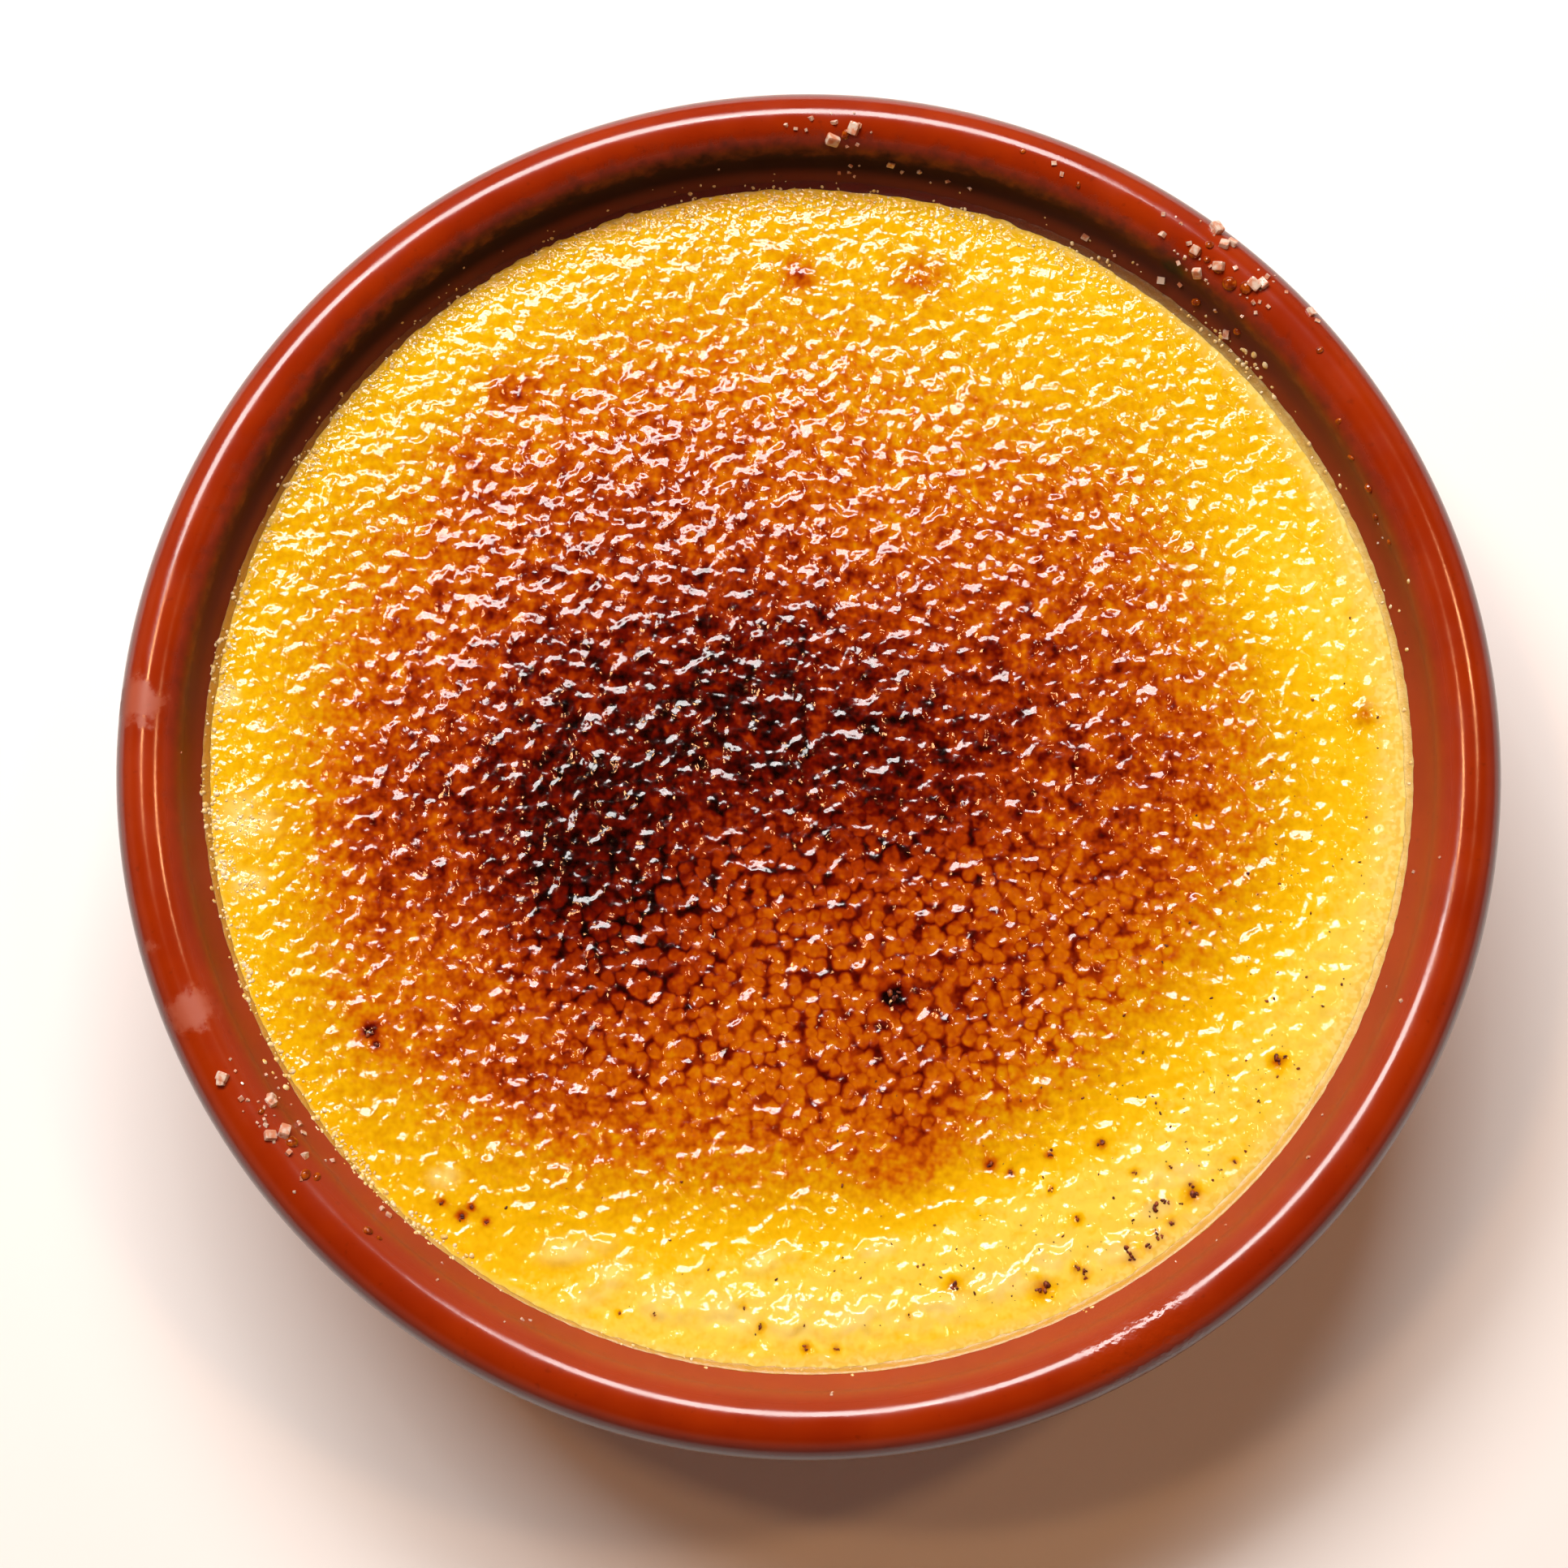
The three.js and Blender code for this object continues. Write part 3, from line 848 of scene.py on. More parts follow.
# how much more the sugar boiled up, or less at the far edge, and between which distances from the middle
BOILED_FAR, BOILED_NEAR, BOILED_RIGHT = (0.35, 5, 30), (0.35, 5, 48), (0.3, 25, 48)
CALM_FAR_EDGE = (0.25, 35, 50)
EVEN_HEAT = 0.19
TORCH_SWEEPS = (
    {"at": (-10, 6), "long": 39, "wide": 56, "turn": -5, "heat": 0.28, "flat_topped": True},
    {"at": (-25, -12), "long": 13, "wide": 21, "turn": 30, "heat": 0.39},
    {"at": (-9, 7), "long": 18, "wide": 13, "turn": 30, "heat": 0.35},
    {"at": (-26, 11), "long": 6, "wide": 5, "turn": 30, "heat": 0.08},
    {"at": (10, -3), "long": 21, "wide": 13, "turn": 30, "heat": 0.31},
    {"at": (-45, -9), "long": 7, "wide": 18, "turn": 0, "heat": 0.24},
    {"at": (-25, 26), "long": 27, "wide": 14, "turn": 25, "heat": 0.18},
    {"at": (30, 25), "long": 16, "wide": 19, "turn": -30, "heat": 0.22},
    {"at": (14, -29), "long": 24, "wide": 13, "turn": 30, "heat": 0.29},
    {"at": (-32, -32), "long": 15, "wide": 6, "turn": -25, "heat": 0.18},
    {"at": (10, -41), "long": 3.6, "wide": 5.5, "turn": -30, "heat": 0.13},
    {"at": (37, -4), "long": 14, "wide": 22, "turn": -15, "heat": 0.32},
    # sugar that the torch barely reached
    {"at": (-6, -54), "long": 30, "wide": 9, "turn": 5, "heat": -0.29},
    {"at": (48, -27), "long": 29, "wide": 9, "turn": 45, "heat": -0.21},
    {"at": (49, 19), "long": 7, "wide": 17, "turn": 30, "heat": -0.18},
    {"at": (56, 0), "long": 8, "wide": 34, "turn": 0, "heat": -0.08},
    {"at": (24, -47), "long": 17, "wide": 6, "turn": 20, "heat": -0.14},
    {"at": (28, 38), "long": 9, "wide": 6, "turn": -30, "heat": -0.06},
    {"at": (0, 50), "long": 45, "wide": 10, "turn": 0, "heat": -0.06},
    {"at": (-36, 42), "long": 14, "wide": 10, "turn": 35, "heat": -0.05},
    # small spots
    {"at": (-1, 52), "long": 1.8, "wide": 1.8, "turn": 0, "heat": 0.25},
    {"at": (12, 51.5), "long": 3.0, "wide": 2.4, "turn": 0, "heat": 0.22},
    {"at": (-31, 39), "long": 3.0, "wide": 2.4, "turn": 20, "heat": 0.22},
    {"at": (-35, 31), "long": 2.5, "wide": 4.0, "turn": 0, "heat": 0.12},
    {"at": (57, 4.5), "long": 1.8, "wide": 1.8, "turn": 0, "heat": 0.34},
)


def browning_at(x, y):
    total = np.full(x.shape, EVEN_HEAT)
    for sweep in TORCH_SWEEPS:
        reach = oval_reach(x, y, sweep)
        total = total + sweep["heat"] * np.exp(-(reach**2 if sweep.get("flat_topped") else reach))
    return np.clip(total, 0, 1)


def set_on_points(mesh, name, values):
    attribute = mesh.attributes.new(name, "FLOAT", "POINT")
    attribute.data.foreach_set("value", np.asarray(values, np.float32))


def points_of(mesh):
    """A mesh's points in millimetres."""
    flat = np.empty(3 * len(mesh.vertices), np.float32)
    mesh.vertices.foreach_get("co", flat)
    return flat.reshape(-1, 3) / MM


def bare_width(turn):
    """How far in from its edge the sugar stays thin and creamy."""
    return 0.35 + sum(width * around_direction(turn, *where) for width, *where in BARE_ARCS)


def rise(value, size, low, high):
    """0 below low, size above high, and smooth between."""
    return size * ramp(value, low, high)


def relief_share(x, y):
    """The sugar boiled up more away from the middle, and ran smooth in one spot near the front."""
    boiled = 1 + rise(y, *BOILED_FAR) + rise(-y, *BOILED_NEAR) + rise(x, *BOILED_RIGHT)
    boiled = boiled * (1 - rise(y, *CALM_FAR_EDGE))
    return boiled * (1 - SMOOTHED * np.exp(-oval_reach(x, y, SMOOTH_SPOT)))


def scorch_round(flecks, x, y):
    """1 under each burnt fleck, fading out around it."""
    halo = np.zeros(x.shape)
    for at_x, at_y, size in flecks:
        halo = np.maximum(halo, np.exp(-((x - at_x) ** 2 + (y - at_y) ** 2) / (SCORCH_WIDTH * size) ** 2))
    return halo


print("torch sweeps:", len(TORCH_SWEEPS))

# %% Marks on the sheet's points
# how much froth, round which direction, and how much in from the edge
FROTHED_ARCS = ((1.0, 95, 75), (0.6, 190, 40))
FROTH_BANDS = ((1.0, -4.5, -1), (0.2, -18, -6))
# how much of each mark, and between which distances it sets in
FROTH_ON_LEFT = (0.8, 40, 50)
SHINY_NEAR = (1.0, 40, 54)
SKIN_BANDS = ((0.25, 0.05, 0.4), (0.75, 0.4, 2.4))
NETTED_OVAL = {"at": (5, -22), "long": 38, "wide": 17, "turn": 0}
NETTED_BAND = (0.75, -1.3, -0.6)


def marks_on_sheet(x, y):
    """Every value that the sheet's points carry, by name."""
    radius, turn = np.hypot(x, y), np.arctan2(y, x)
    from_edge = ragged_edge(turn) - radius
    on_top = np.arange(len(x)) < top_points
    blister = blistered(x, y)
    frothed = np.max([size * around_direction(turn, *where) for size, *where in FROTHED_ARCS], axis=0)
    froth = np.max([rise(-from_edge, *band) for band in FROTH_BANDS], axis=0) * frothed
    froth = np.maximum(froth, blister * rise(-x, *FROTH_ON_LEFT))
    netted_gap = np.sqrt(oval_reach(x, y, NETTED_OVAL))
    return {
        "browning": browning_at(x, y),
        "bare": ramp(-from_edge, -1.5 * bare_width(turn), 0.2),
        "froth": froth,
        "scorch": scorch_round(BURNT_FLECKS, x, y),
        "relief": relief_share(x, y) * (1 - 0.5 * froth),
        "netted": 0.25 + rise(-netted_gap, *NETTED_BAND),
        "blister": on_top * blister,
        "shine": on_top * blister * rise(-y, *SHINY_NEAR),
        "skin": on_top * sum(rise(from_edge, *band) for band in SKIN_BANDS),
    }


sheet_x, sheet_y, _ = points_of(sheet_mesh).T
marks = marks_on_sheet(sheet_x, sheet_y)
for name, values in marks.items():
    set_on_points(sheet_mesh, name, values)
browning = marks["browning"]
print("browning from", round(float(browning.min()), 2), "to", round(float(browning.max()), 2))

# %% [markdown]
# ## Pebbled sugar
#
# Melted sugar pulls into smooth humps and hollows one to two millimetres across, and a net of fine ridges
# runs between them where it boiled. Smooth noise makes the humps. A Voronoi texture makes the net: it gives
# the distance to the middle of the nearest cell, which is largest on the lines between the cells. Warping
# it first takes away its straight lines. The recipe is a few functions that can be wired into either kind
# of tree. Geometry Nodes use them to lift the sheet's points, and the material uses them again for what is
# finer than the mesh and for the colour, because what stands nearest to the flame chars first.

# %% Recipe for the sugar's humps and ridges
HUMP_PITCH = 2.4
HUMP_ROUGHNESS = 0.85
HUMP_HEIGHT = 0.54
HUMP_TURN = -6
HUMP_STRETCH = (1.06, 1.08, 1)
BEAD_PITCH = 0.55
BEAD_HEIGHT = 0.035
FROTH = 5
NET_PITCH = 1.3
NET_HEIGHT = 0.03
NET_LINES = (0.34, 0.74)
WARP = 0.8
WARP_PITCH = 1.5
BUMP_SHARE = 0.5
CRUMPLE_HEIGHT = 0.4
CRUMPLE_SPARKLE = 0.8


def sugar_humps(tree, place):
    """(hump, bead): smooth humps and much finer beads at a place, each from -0.5 to 0.5."""
    turn = {"Vector": place, "Angle": math.radians(-HUMP_TURN)}
    turned_place = add_node(tree, "ShaderNodeVectorRotate", turn, rotation_type="Z_AXIS").outputs[0]
    stretched = shifted(tree, turned_place, (11.3, 5.1, 0), HUMP_STRETCH)
    hump = grain(tree, stretched, HUMP_PITCH, 1.0, HUMP_ROUGHNESS, flat=True)
    bead = grain(tree, stretched, BEAD_PITCH, 0.0, 0.5, flat=True)
    return minus(tree, hump, 0.5), minus(tree, bead, 0.5)


def sugar_net(tree, place):
    """0 inside round cells, and 1 on the lines between them, which are warped so that none is straight."""
    bent = vector(tree, "ADD", place, wander(tree, place, WARP_PITCH, WARP, flat=True))
    inputs = {"Vector": shifted(tree, bent, (3.1, 7.7, 0)), "Scale": 1 / NET_PITCH, "Randomness": 0.95}
    settings = {"voronoi_dimensions": "2D", "feature": "F1"}
    cells = add_node(tree, "ShaderNodeTexVoronoi", inputs, **settings)
    return blend(tree, cells.outputs["Distance"], *NET_LINES)


print("humps about", HUMP_PITCH, "mm apart")


# %% Lift the ridges with Geometry Nodes
def start_tree(name, *sizes):
    """A Geometry Nodes tree with a geometry input and one named input for each size."""
    tree = bpy.data.node_groups.new(name, "GeometryNodeTree")
    tree.interface.new_socket("Geometry", in_out="INPUT", socket_type="NodeSocketGeometry")
    tree.interface.new_socket("Geometry", in_out="OUTPUT", socket_type="NodeSocketGeometry")
    for size in sizes:
        tree.interface.new_socket(size, in_out="INPUT", socket_type="NodeSocketFloat")
    return tree, add_node(tree, "NodeGroupInput").outputs


def end_tree(tree, geometry, material):
    """Every tree ends the same way: real geometry with its material."""
    real = add_node(tree, "GeometryNodeRealizeInstances", {0: geometry}).outputs[0]
    painted = add_node(tree, "GeometryNodeSetMaterial", {"Geometry": real, "Material": material}).outputs[0]
    add_node(tree, "NodeGroupOutput", {0: painted})


def baked(source, tree, name, **sizes):
    """Runs a tree on a copy of a piece's mesh, and returns the result as a plain piece."""
    piece = put(name, source.data.copy())
    modifier = piece.modifiers.new(tree.name, "NODES")
    modifier.node_group = tree
    for socket in tree.interface.items_tree:
        if socket.in_out == "INPUT" and socket.name in sizes:
            modifier[socket.identifier] = float(sizes[socket.name])
    depsgraph = bpy.context.evaluated_depsgraph_get()
    mesh = bpy.data.meshes.new_from_object(piece.evaluated_get(depsgraph), depsgraph=depsgraph)
    piece.modifiers.remove(modifier)
    rough_mesh, piece.data = piece.data, mesh
    mesh.name = name
    bpy.data.meshes.remove(rough_mesh)
    return piece


def place_in_mm(tree):
    return vector(tree, "SCALE", add_node(tree, "GeometryNodeInputPosition").outputs[0], 1 / MM)


def stored(tree, name, kind="FLOAT"):
    """A value that the points carry."""
    return add_node(tree, "GeometryNodeInputNamedAttribute", {"Name": name}, data_type=kind).outputs[0]


def ridge_tree(material):
    """Lifts each point by its humps, its net and its blister. Heights are in millimetres."""
    tree, given = start_tree("lift_sugar_ridges", "share")
    place = place_in_mm(tree)
    hump, _ = sugar_humps(tree, place)
    humps = times(tree, hump, HUMP_HEIGHT, given["share"], stored(tree, "relief"))
    ridges = times(tree, sugar_net(tree, place), NET_HEIGHT)
    crumple = plus(tree, times(tree, hump, CRUMPLE_HEIGHT), BLISTER_HEIGHT)
    puffed = times(tree, crumple, stored(tree, "shine"))
    height = times(tree, plus(tree, humps, ridges, puffed), stored(tree, "skin"))
    lift = add_node(tree, "ShaderNodeCombineXYZ", {2: times(tree, height, MM)}).outputs[0]
    moving = {"Geometry": given["Geometry"], "Offset": lift}
    end_tree(tree, add_node(tree, "GeometryNodeSetPosition", moving).outputs[0], material)
    return tree


print("tree helpers ready")

# %% [markdown]
# ## Melted sugar
#
# Caramel darkens from straw yellow through amber and orange to brown and black. The colour is read from
# a chart of those stages by the browning of the spot: that of the torch, more on the ridges, and a little
# chance. The surface is glass-smooth where it melted through and duller where it stayed thin and creamy.

# %% Caramel material
CARAMEL_STAGES = (
    (0.00, tone(254, 222, 80)),
    (0.12, tone(253, 202, 20)),
    (0.25, tone(239, 184, 6)),
    (0.37, tone(222, 154, 4)),
    (0.50, tone(204, 104, 3)),
    (0.63, tone(164, 54, 2)),
    (0.78, tone(104, 14, 1)),
    (0.90, tone(50, 4, 1)),
    (1.00, tone(18, 1, 0)),
)
THIN_SUGAR = (tone(238, 204, 88), tone(252, 228, 132))
PUFFED_SUGAR = tone(254, 228, 126)
LINE_CHAR = 0.26
HUMP_CHAR = 0.1
SCORCH_CHAR = 0.5


def caramel_chart(tree, browning_here):
    chart = add_node(tree, "ShaderNodeValToRGB", {"Fac": browning_here})
    stages = chart.color_ramp.elements
    while len(stages) < len(CARAMEL_STAGES):
        stages.new(0.5)
    for stage, (position, colour) in zip(stages, CARAMEL_STAGES):
        stage.position = position
        stage.color = colour
    return chart.outputs["Color"]


def mark(tree, name):
    """A value that the sheet's points carry, read in a material."""
    return add_node(tree, "ShaderNodeAttribute", attribute_name=name).outputs["Fac"]


def charred(tree, place, hump, patches, freckles):
    """The browning of a spot: the torch's, more on the lines and the humps, and a little chance."""
    torch = mark(tree, "browning")
    burnt = blend(tree, torch, 0.25, 0.6)
    netted = times(tree, burnt, mark(tree, "netted"))
    broken = blend(tree, grain(tree, place, 2.6, 1, flat=True), 0.3, 0.6, 0.4, 1.0)
    lines = times(tree, minus(tree, sugar_net(tree, place), 0.44), netted, broken, LINE_CHAR)
    humps = times(tree, hump, burnt, HUMP_CHAR)
    small_spots = times(tree, freckles, blend(tree, torch, 0.15, 0.5, 0.2, 0.34))
    large_spots = times(tree, patches, blend(tree, torch, 0.3, 0.7, 0.12, 0.6))
    plain = minus(tree, 1.0, times(tree, netted, 0.45))
    spotted = times(tree, plus(tree, small_spots, large_spots), plain)
    scorched = times(tree, mark(tree, "scorch"), SCORCH_CHAR)
    return plus(tree, torch, lines, humps, spotted, scorched, clamp=True)


def melted_sugar():
    material, tree, shader, place = new_finish("melted_sugar")
    hump, bead = sugar_humps(tree, place)
    patches = minus(tree, grain(tree, place, 2.6, 2, 0.6, flat=True), 0.5)
    freckles = minus(tree, grain(tree, place, 0.9, 1, 0.6, flat=True), 0.5)
    bare, blister = mark(tree, "bare"), mark(tree, "blister")

    sugar = caramel_chart(tree, charred(tree, place, hump, patches, freckles))
    puffed = times(tree, blister, blend(tree, patches, -0.2, 0.1, 0.1, 0.9))
    sugar = colour_mix(tree, puffed, sugar, PUFFED_SUGAR)
    cream = colour_mix(tree, blend(tree, freckles, -0.12, 0.12), *THIN_SUGAR)
    thin = plus(tree, bare, times(tree, patches, 0.9), clamp=True)
    thin = times(tree, thin, blend(tree, bare, 0.0, 0.15))
    plug(tree, colour_mix(tree, thin, sugar, cream), shader.inputs["Base Color"])

    crumpled = plus(tree, mark(tree, "relief"), times(tree, blister, CRUMPLE_SPARKLE))
    humps = times(tree, hump, HUMP_HEIGHT * BUMP_SHARE, crumpled)
    puffs = times(tree, mark(tree, "shine"), BLISTER_SHINE)
    frothed = plus(tree, times(tree, mark(tree, "froth"), FROTH), 1.0)
    beads = times(tree, bead, BEAD_HEIGHT, frothed)
    plug(tree, relief_of(tree, plus(tree, humps, puffs, beads)), shader.inputs["Coat Normal"])
    plug(tree, minus(tree, 1.0, times(tree, thin, 0.8)), shader.inputs["Coat Weight"])
    set_inputs(shader, {"Coat Roughness": 0.115, "Coat IOR": 1.5})
    set_inputs(shader, {"Roughness": 0.5, "Specular IOR Level": 0.0})
    let_light_in(shader, 0.3, (1.0, 0.9, 0.8))
    return material


caramel = melted_sugar()
crust = baked(caramel_sheet, ridge_tree(caramel), "caramel_crust_sheet", share=1 - BUMP_SHARE)
bpy.data.objects.remove(caramel_sheet)
print("crust:", len(crust.data.polygons), "faces")

# %% [markdown]
# ## Sugar crystals on the lip
#
# Coarse sugar missed the dish and melted fast to its lip in a few places. The solids hold the sixteen
# largest crystals as blunt blocks, so these have to lie in the very same places. They are drawn again in
# the same order, from the same chain of numbers. A real crystal is a cube with worn edges, so each block
# gets a bevel.

# %% Large crystals
SUGAR_SPILLS = (
    {"direction": 50, "spread": 4.5, "count": 8, "section": (40, 160)},
    {"direction": 86, "spread": 4, "count": 2, "section": (90, 140)},
    {"direction": 209, "spread": 2, "count": 2, "section": (75, 105)},
    {"direction": 215, "spread": 2.5, "count": 4, "section": (70, 160)},
)
CRYSTAL_SIZE = (0.9, 1.5)
CRYSTAL_THICKNESS = (0.6, 0.8)
CRYSTAL_DEPTH = (0.7, 1)
CRYSTAL_SUNK = 0.4
CRYSTAL_TILT = 0.35
CRYSTAL_WEAR = 0.16


def chain_of_numbers(state):
    """Numbers from 0 to 1 that come out the same every time."""
    while True:
        state = (state * 1664525 + 1013904223) % 4294967296
        yield state / 4294967296


def crystal_place(draw, spill):
    """(matrix, size) of one crystal: a unit cube turned and moved to lie on the lip."""
    def between(low, high):
        return low + next(draw) * (high - low)

    size = between(*CRYSTAL_SIZE)
    thickness = size * between(*CRYSTAL_THICKNESS)
    depth = size * between(*CRYSTAL_DEPTH)
    spin = Matrix.Rotation(between(0, math.pi), 4, "X")
    lean = Matrix.Rotation(between(-CRYSTAL_TILT, CRYSTAL_TILT), 4, "Y")
    twist = Matrix.Rotation(between(-CRYSTAL_TILT, CRYSTAL_TILT), 4, "Z")
    out = Matrix.Translation((LIP_ROLL + thickness * (0.5 - CRYSTAL_SUNK), 0, 0))
    round_lip = Matrix.Rotation(-math.radians(between(*spill["section"])), 4, "Y")
    to_lip = Matrix.Translation((LIP_CENTRE[0], 0, LIP_CENTRE[1]))
    direction = spill["direction"] + between(-spill["spread"], spill["spread"])
    round_dish = Matrix.Rotation(math.radians(direction), 4, "Z")
    cut = Matrix.Diagonal((thickness, size, depth, 1))
    return round_dish @ to_lip @ round_lip @ out @ twist @ lean @ spin @ cut, size


def crystal_mesh():
    draw = chain_of_numbers(7)
    crystals = bmesh.new()
    for spill in SUGAR_SPILLS:
        for _ in range(spill["count"]):
            place, size = crystal_place(draw, spill)
            in_metres = Matrix.Scale(MM, 4) @ place
            corners = bmesh.ops.create_cube(crystals, size=1, matrix=in_metres)["verts"]
            edges = list({edge for corner in corners for edge in corner.link_edges})
            wear = CRYSTAL_WEAR * size * MM
            bmesh.ops.bevel(crystals, geom=edges, offset=wear, segments=2, profile=0.6, affect="EDGES")
    mesh = bpy.data.meshes.new("lip_crystals")
    crystals.to_mesh(mesh)
    crystals.free()
    return mesh


def clear_sugar(name, deep, pale, clearness, rough):
    """Glassy sugar: lets light through, with a cloudy core whose colour runs from deep to pale."""
    material, tree, shader, place = new_finish(name)
    clouds = blend(tree, grain(tree, place, 0.6, 2), 0.35, 0.65)
    plug(tree, colour_mix(tree, clouds, tone(*deep), tone(*pale)), shader.inputs["Base Color"])
    plug(tree, relief_of(tree, grain(tree, place, 0.3, 1), 0.03 * MM), shader.inputs["Normal"])
    set_inputs(shader, {"Transmission Weight": clearness, "Roughness": rough, "IOR": 1.5})
    return material


loose_sugar = clear_sugar("loose_sugar", (240, 160, 122), (254, 232, 212), 0.25, 0.14)
lip_crystals = put("lip_crystals", crystal_mesh(), loose_sugar)
print("crystals:", sum(spill["count"] for spill in SUGAR_SPILLS))

# %% [markdown]
# ## Scattering small things
#
# Finer sugar, drops of caramel, beads of froth and burnt flecks all rest on something. Each kind is a set
# of points first: where it lies, how large it is and which way the surface under it faces. A ray from above
# finds the surface. A Geometry Nodes tree then puts a small shape on each point, turns it to its surface
# and dents it a little, so that no two are alike. One tree serves for every kind, with other numbers.

# %% Points that rest on the dessert
everything = bpy.context.evaluated_depsgraph_get()
resting_on = [BVHTree.FromObject(piece, everything) for piece in (glazed_dish, baked_custard, crust)]


def landing(x, y):
    """The highest place under a spot, in millimetres, and the way that the surface faces there."""
    start = Vector((x, y, DISH_HEIGHT + 20)) * MM
    hits = [tree.ray_cast(start, Vector((0, 0, -1))) for tree in resting_on]
    place, facing = max(((hit[0], hit[1]) for hit in hits if hit[0]), key=lambda found: found[0].z)
    return np.array(place) / MM, np.array(facing)


def resting_points(name, spots, sunk):
    """Loose points with a size and a facing. spots are (x, y, size), and sunk is a share of the size."""
    landed = [landing(x, y) for x, y, _ in spots]
    sizes = np.array([size for _, _, size in spots])
    facing = np.array([face for _, face in landed])
    places = np.array([place for place, _ in landed]) - facing * (sizes * sunk)[:, None]
    mesh = bpy.data.meshes.new(name)
    mesh.from_pydata((places * MM).tolist(), [], [])
    set_on_points(mesh, "size", sizes)
    mesh.attributes.new("facing", "FLOAT_VECTOR", "POINT").data.foreach_set("vector", facing.ravel())
    return put(name, mesh)


def round_the_dish(seed, count, directions, radii, sizes, clumps):
    """Seeded spots along an arc, gathered in clumps. Small ones are commoner than large ones."""
    draw = np.random.default_rng(seed)
    clump = draw.uniform(*directions, clumps)
    turn = np.radians(draw.choice(clump, count) + draw.normal(0, 1.1, count))
    radius = draw.uniform(*radii, count)
    size = sizes[0] + (sizes[1] - sizes[0]) * draw.uniform(0, 1, count) ** 2
    return list(zip(radius * np.cos(turn), radius * np.sin(turn), size))


print("surfaces to rest on:", len(resting_on))


# %% One tree for every kind
# the shapes that are repeated, each about 1 mm across and made of a few dozen faces at most
SHAPES = {
    "block": ("GeometryNodeMeshCube", {"Size": (0.8 * MM, 0.9 * MM, 0.8 * MM)}),
    "crumb": ("GeometryNodeMeshIcoSphere", {"Radius": 0.5 * MM, "Subdivisions": 2}),
    "ball": ("GeometryNodeMeshUVSphere", {"Segments": 10, "Rings": 6, "Radius": 0.5 * MM}),
}
FULL_TURN = (2 * math.pi,) * 3
LEAST_BUILD, MOST_BUILD = (0.7, 0.9, 0.85), (1.0, 1.25, 1.15)
DENT_PITCH = 0.35


def chance(tree, low, high, seed):
    """Three numbers between low and high, other ones on every point."""
    inputs = {"Min": low, "Max": high, "Seed": seed}
    return add_node(tree, "FunctionNodeRandomValue", inputs, data_type="FLOAT_VECTOR").outputs["Value"]


def scatter_tree(kind, material, seed):
    """Puts the shape on each point. flatness is its height over its width, unevenness is in millimetres."""
    tree, given = start_tree("scatter_" + kind, "flatness", "tumble", "unevenness")
    turns = chance(tree, (0, 0, 0), FULL_TURN, seed)
    spin = vector(tree, "MULTIPLY", turns, (0, 0, 1))
    spin = vector(tree, "ADD", spin, vector(tree, "SCALE", turns, given["tumble"]))
    spin = add_node(tree, "FunctionNodeEulerToRotation", {0: spin}).outputs[0]
    facing = {"Vector": stored(tree, "facing", "FLOAT_VECTOR")}
    upright = add_node(tree, "FunctionNodeAlignRotationToVector", facing, axis="Z").outputs[0]
    turning = {0: upright, 1: spin}
    turned_to = add_node(tree, "FunctionNodeRotateRotation", turning, rotation_space="LOCAL").outputs[0]

    build = chance(tree, LEAST_BUILD, MOST_BUILD, seed + 1)
    flat = add_node(tree, "ShaderNodeCombineXYZ", {0: 1.0, 1: 1.0, 2: given["flatness"]}).outputs[0]
    build = vector(tree, "SCALE", vector(tree, "MULTIPLY", build, flat), stored(tree, "size"))
    shape = add_node(tree, *SHAPES[kind]).outputs["Mesh"]
    placing = {"Points": given["Geometry"], "Instance": shape, "Rotation": turned_to, "Scale": build}
    placed = add_node(tree, "GeometryNodeInstanceOnPoints", placing).outputs[0]

    real = add_node(tree, "GeometryNodeRealizeInstances", {0: placed}).outputs[0]
    dent = wander(tree, place_in_mm(tree), DENT_PITCH, times(tree, given["unevenness"], MM))
    dented = add_node(tree, "GeometryNodeSetPosition", {"Geometry": real, "Offset": dent}).outputs[0]
    finish = {"Geometry": dented, "Shade Smooth": kind != "block"}
    end_tree(tree, add_node(tree, "GeometryNodeSetShadeSmooth", finish).outputs[0], material)
    return tree


def scattered(name, kind, material, spots, sunk, seed, **sizes):
    """A whole kind of small thing as one plain piece."""
    points = resting_points(name + "_points", spots, sunk)
    piece = baked(points, scatter_tree(kind, material, seed), name, **sizes)
    bpy.data.objects.remove(points)
    print(name, len(spots), "pieces,", len(piece.data.polygons), "faces")
    return piece


print("scatter tree ready")

# %% [markdown]
# ## Fine sugar
#
# Between and around the large crystals lie smaller ones, down to a quarter of a millimetre. Blocks of six
# faces are enough at that size.

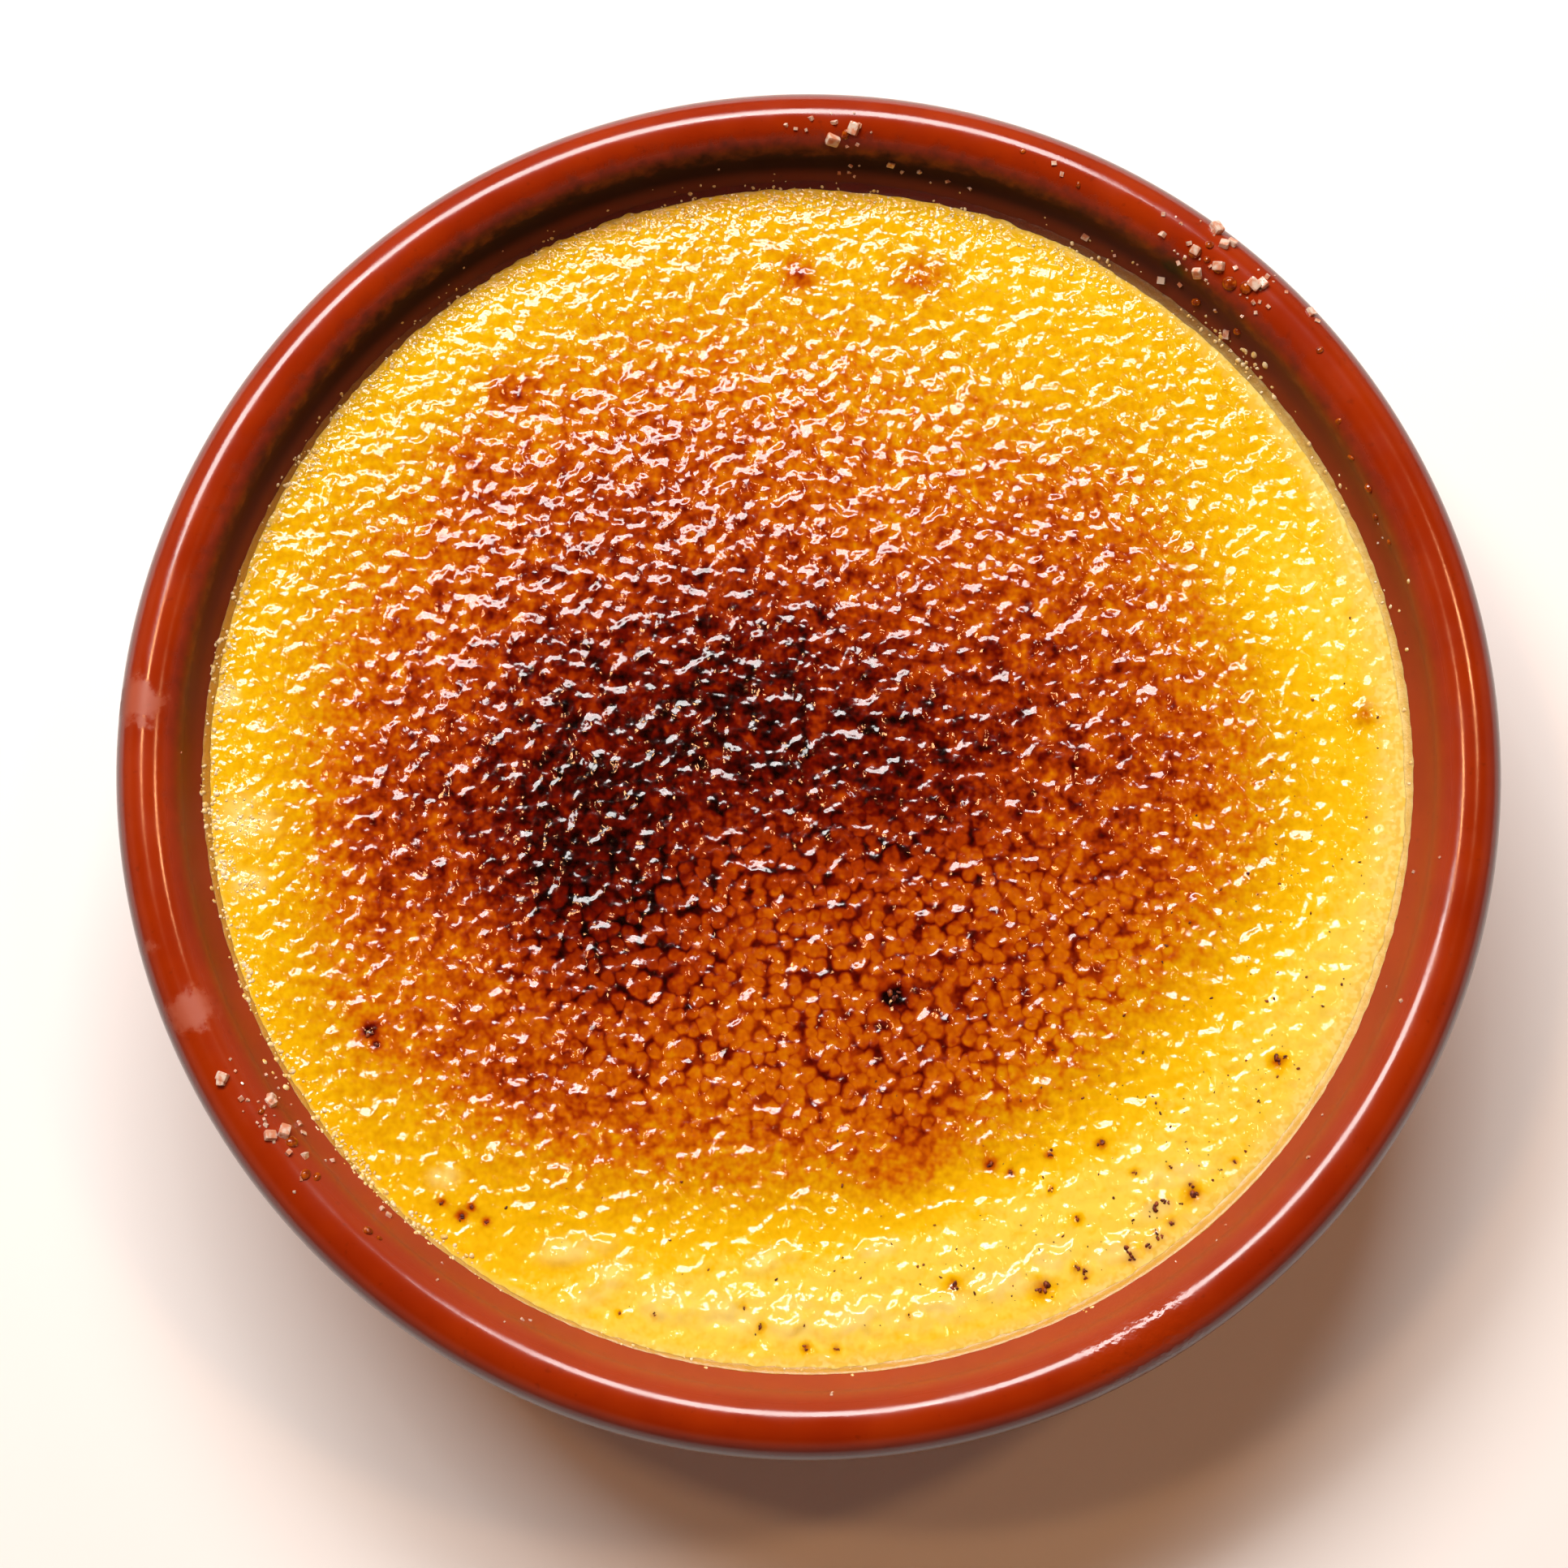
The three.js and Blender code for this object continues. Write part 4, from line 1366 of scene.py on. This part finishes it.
# %% Fine sugar
FINE_SUGAR = (
    (41.8, 54.2, 0.7), (43.9, 49.9, 0.5), (45.7, 46.4, 0.5), (51.6, 45.4, 0.9), (52.2, 44.4, 0.5),
    (36.5, 53.7, 0.7), (37.0, 50.5, 0.8), (38.8, 49.7, 0.5), (42.4, 46.8, 0.4), (43.7, 44.7, 0.9),
    (2.7, 65.7, 0.6), (5.2, 65.3, 0.6), (-2.3, 65.4, 0.4), (-1.3, 65.1, 0.4), (-0.2, 65.0, 0.4),
    (25.4, 61.2, 0.5), (26.2, 60.1, 0.5), (29.1, 55.3, 0.8), (-53.4, -37.2, 0.5), (-50.2, -38.3, 0.6),
    (-51.0, -40.4, 0.7), (-49.5, -40.6, 0.7), (-50.7, -37.3, 0.6), (-57.0, -31.2, 0.3), (-56.4, -32.4, 0.3),
    (-55.7, -33.6, 0.3), (-42.5, -45.7, 0.6), (-41.8, -46.3, 0.6), (-47.4, -40.9, 0.6), (8.7, 62.6, 0.8),
    (9.9, 62.1, 0.4), (11.7, 62.0, 0.5), (14.7, 61.1, 0.5), (17.0, 60.4, 0.4),
)
# (seed, how many, directions, radii, sizes, clumps)
FINE_SUGAR_ARCS = (
    (31, 34, (45, 56), (62.2, 69), (0.22, 0.6), 9),
    (32, 12, (82, 93), (62.2, 67), (0.2, 0.5), 4),
    (33, 22, (208, 222), (62.2, 67), (0.22, 0.6), 6),
    (34, 26, (20, 350), (62.1, 64), (0.18, 0.4), 24),
)
fine_spots = list(FINE_SUGAR)
for arc in FINE_SUGAR_ARCS:
    fine_spots += round_the_dish(*arc)
fine_sugar = scattered(
    "fine_sugar", "block", loose_sugar, fine_spots, 0.0, 41,
    flatness=1.0, tumble=1.0, unevenness=0.08,
)

# %% [markdown]
# ## Drops of caramel
#
# Some of the spilt sugar met the flame and ran together into clear amber drops. They lie as low domes on
# the lip and hang on the wall.

# %% Caramel drops
DROPS = (
    (39.8, 51.8, 1.6), (41.3, 52.4, 1.0), (41.0, 50.9, 0.8), (42.1, 50.0, 1.2), (43.3, 48.4, 1.6),
    (45.0, 47.9, 1.5), (22.2, 62.5, 0.6), (27.9, 59.0, 0.6), (-49.3, -42.5, 1.2), (-48.2, -42.7, 0.9),
    (-43.1, -47.9, 1.0), (-42.0, -48.6, 0.7), (52.3, 41.1, 0.8), (40.5, 48.0, 1.2), (44.6, 44.6, 1.0),
    (57.3, 27.2, 1.1), (58.2, 24.6, 0.9), (55.6, 30.5, 0.8), (59.4, 21.8, 0.7), (-50.8, -39.3, 1.4),
    (-53.8, -36.3, 0.8), (3.9, 64.6, 1.0), (54.2, 34.0, 0.7),
)
set_caramel = clear_sugar("set_caramel", (150, 50, 4), (206, 96, 14), 0.25, 0.08)
caramel_drops = scattered(
    "caramel_drops", "ball", set_caramel, DROPS, 0.0, 51,
    flatness=0.6, tumble=0.02, unevenness=0.25,
)

# %% [markdown]
# ## Beads of froth
#
# Where the custard boiled against the wall it left glassy beads: coarse ones on the left, small clusters on
# the right, and a dense fine froth on the sugar along the far edge and on the blisters at the left.

# %% Froth beads
BEADS = (
    (45.5, 42.9, 0.9), (46.4, 42.3, 0.9), (47.5, 41.1, 0.9), (-52.3, -33.6, 1.1), (-53.6, -32.2, 0.6),
    (-54.4, -31.1, 0.9), (61.3, 11.1, 0.7), (61.0, 17.4, 0.6), (61.1, 5.0, 0.6), (61.5, -0.5, 0.5),
    (61.3, -2.6, 0.5),
)
# (seed, how many, directions, radii, sizes, clumps)
FROTH_ARCS = (
    (61, 70, (2, 62), (61.2, 62.5), (0.25, 0.8), 16),
    (62, 400, (140, 240), (60.4, 62.0), (0.24, 0.8), 70),
    (63, 380, (58, 150), (58.6, 61.3), (0.16, 0.5), 46),
    (64, 60, (40, 150), (61.2, 62.6), (0.2, 0.6), 30),
    (65, 18, (236, 300), (61.3, 62.1), (0.25, 0.6), 7),
)
FROTHED_BLISTERS = BLISTERS[:4]
FROTH_ON_BLISTER = 45
FROTH_SPREAD = 0.45
SMALLEST_FROTH, FROTH_RANGE = 0.16, 0.3


def froth_on(blisters, seed, count):
    """Seeded beads on top of the blisters, none of them past the sugar's edge."""
    draw = np.random.default_rng(seed)
    spots = []
    for blister in blisters:
        for _ in range(count):
            across, along = draw.normal(0, FROTH_SPREAD, 2) * (blister["long"], blister["wide"])
            x, y = blister["at"][0] + across, blister["at"][1] + along
            if math.hypot(x, y) < SHEET_EDGE - 0.2:
                spots.append((x, y, SMALLEST_FROTH + FROTH_RANGE * draw.uniform(0, 1) ** 2))
    return spots


bead_spots = list(BEADS)
for arc in FROTH_ARCS:
    bead_spots += round_the_dish(*arc)
bead_spots += froth_on(FROTHED_BLISTERS, 66, FROTH_ON_BLISTER)
glassy_froth = clear_sugar("glassy_froth", (238, 198, 108), (255, 238, 196), 0.0, 0.12)
froth_beads = scattered(
    "froth_beads", "ball", glassy_froth, bead_spots, 0.22, 71,
    flatness=0.8, tumble=0.1, unevenness=0.16,
)

# %% [markdown]
# ## Burnt flecks
#
# Lumps of burnt sugar lie on the pale front of the crust, each a few crumbs that touch. Dust of the same
# kind is strewn between them.

# %% Burnt flecks
DUST_COUNT = 230
CRUMB_SHARES = (0.9, 0.65, 0.55, 0.4)
CRUMB_SPREAD = 0.27
DUST_MIDDLE, DUST_SPREAD = -52, 30
DUST_RADIUS, DUST_WIDTH = 59.5, 9
SMALLEST_DUST, DUST_RANGE = 0.14, 0.3


def burnt_crumb():
    material, tree, shader, place = new_finish("burnt_crumb")
    clouds = blend(tree, grain(tree, place, 0.4, 2), 0.4, 0.65)
    plug(tree, colour_mix(tree, clouds, tone(84, 20, 7), tone(158, 70, 14)), shader.inputs["Base Color"])
    set_inputs(shader, {"Roughness": 0.6})
    return material


def burnt_dust(seed, count):
    """Seeded fine crumbs along the pale front and right of the crust."""
    draw = np.random.default_rng(seed)
    turn = np.radians(draw.normal(DUST_MIDDLE, DUST_SPREAD, count))
    radius = DUST_RADIUS - np.abs(draw.normal(0, DUST_WIDTH, count))
    size = SMALLEST_DUST + DUST_RANGE * draw.uniform(0, 1, count) ** 2.5
    return list(zip(radius * np.cos(turn), radius * np.sin(turn), size))


def crumbled(seed, flecks, shares):
    """Breaks each fleck into a few crumbs that touch."""
    draw = np.random.default_rng(seed)
    crumbs = []
    for x, y, size in flecks:
        for share in shares:
            across, along = draw.normal(0, CRUMB_SPREAD * size, 2)
            crumbs.append((x + across, y + along, share * size))
    return crumbs


crumbs = crumbled(82, BURNT_FLECKS, CRUMB_SHARES) + burnt_dust(81, DUST_COUNT)
burnt_flecks = scattered(
    "burnt_flecks", "crumb", burnt_crumb(), crumbs, 0.1, 91,
    flatness=0.6, tumble=0.3, unevenness=0.3,
)

# %% Ride, replace and finish
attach(glazed_dish, "root")
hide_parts("dish")
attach(baked_custard, "root")
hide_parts("custard")
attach(crust, "root")
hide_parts("caramel_crust")
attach(lip_crystals, "root")
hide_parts("dish")
for small_piece in (fine_sugar, caramel_drops, froth_beads, burnt_flecks):
    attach(small_piece, "root")
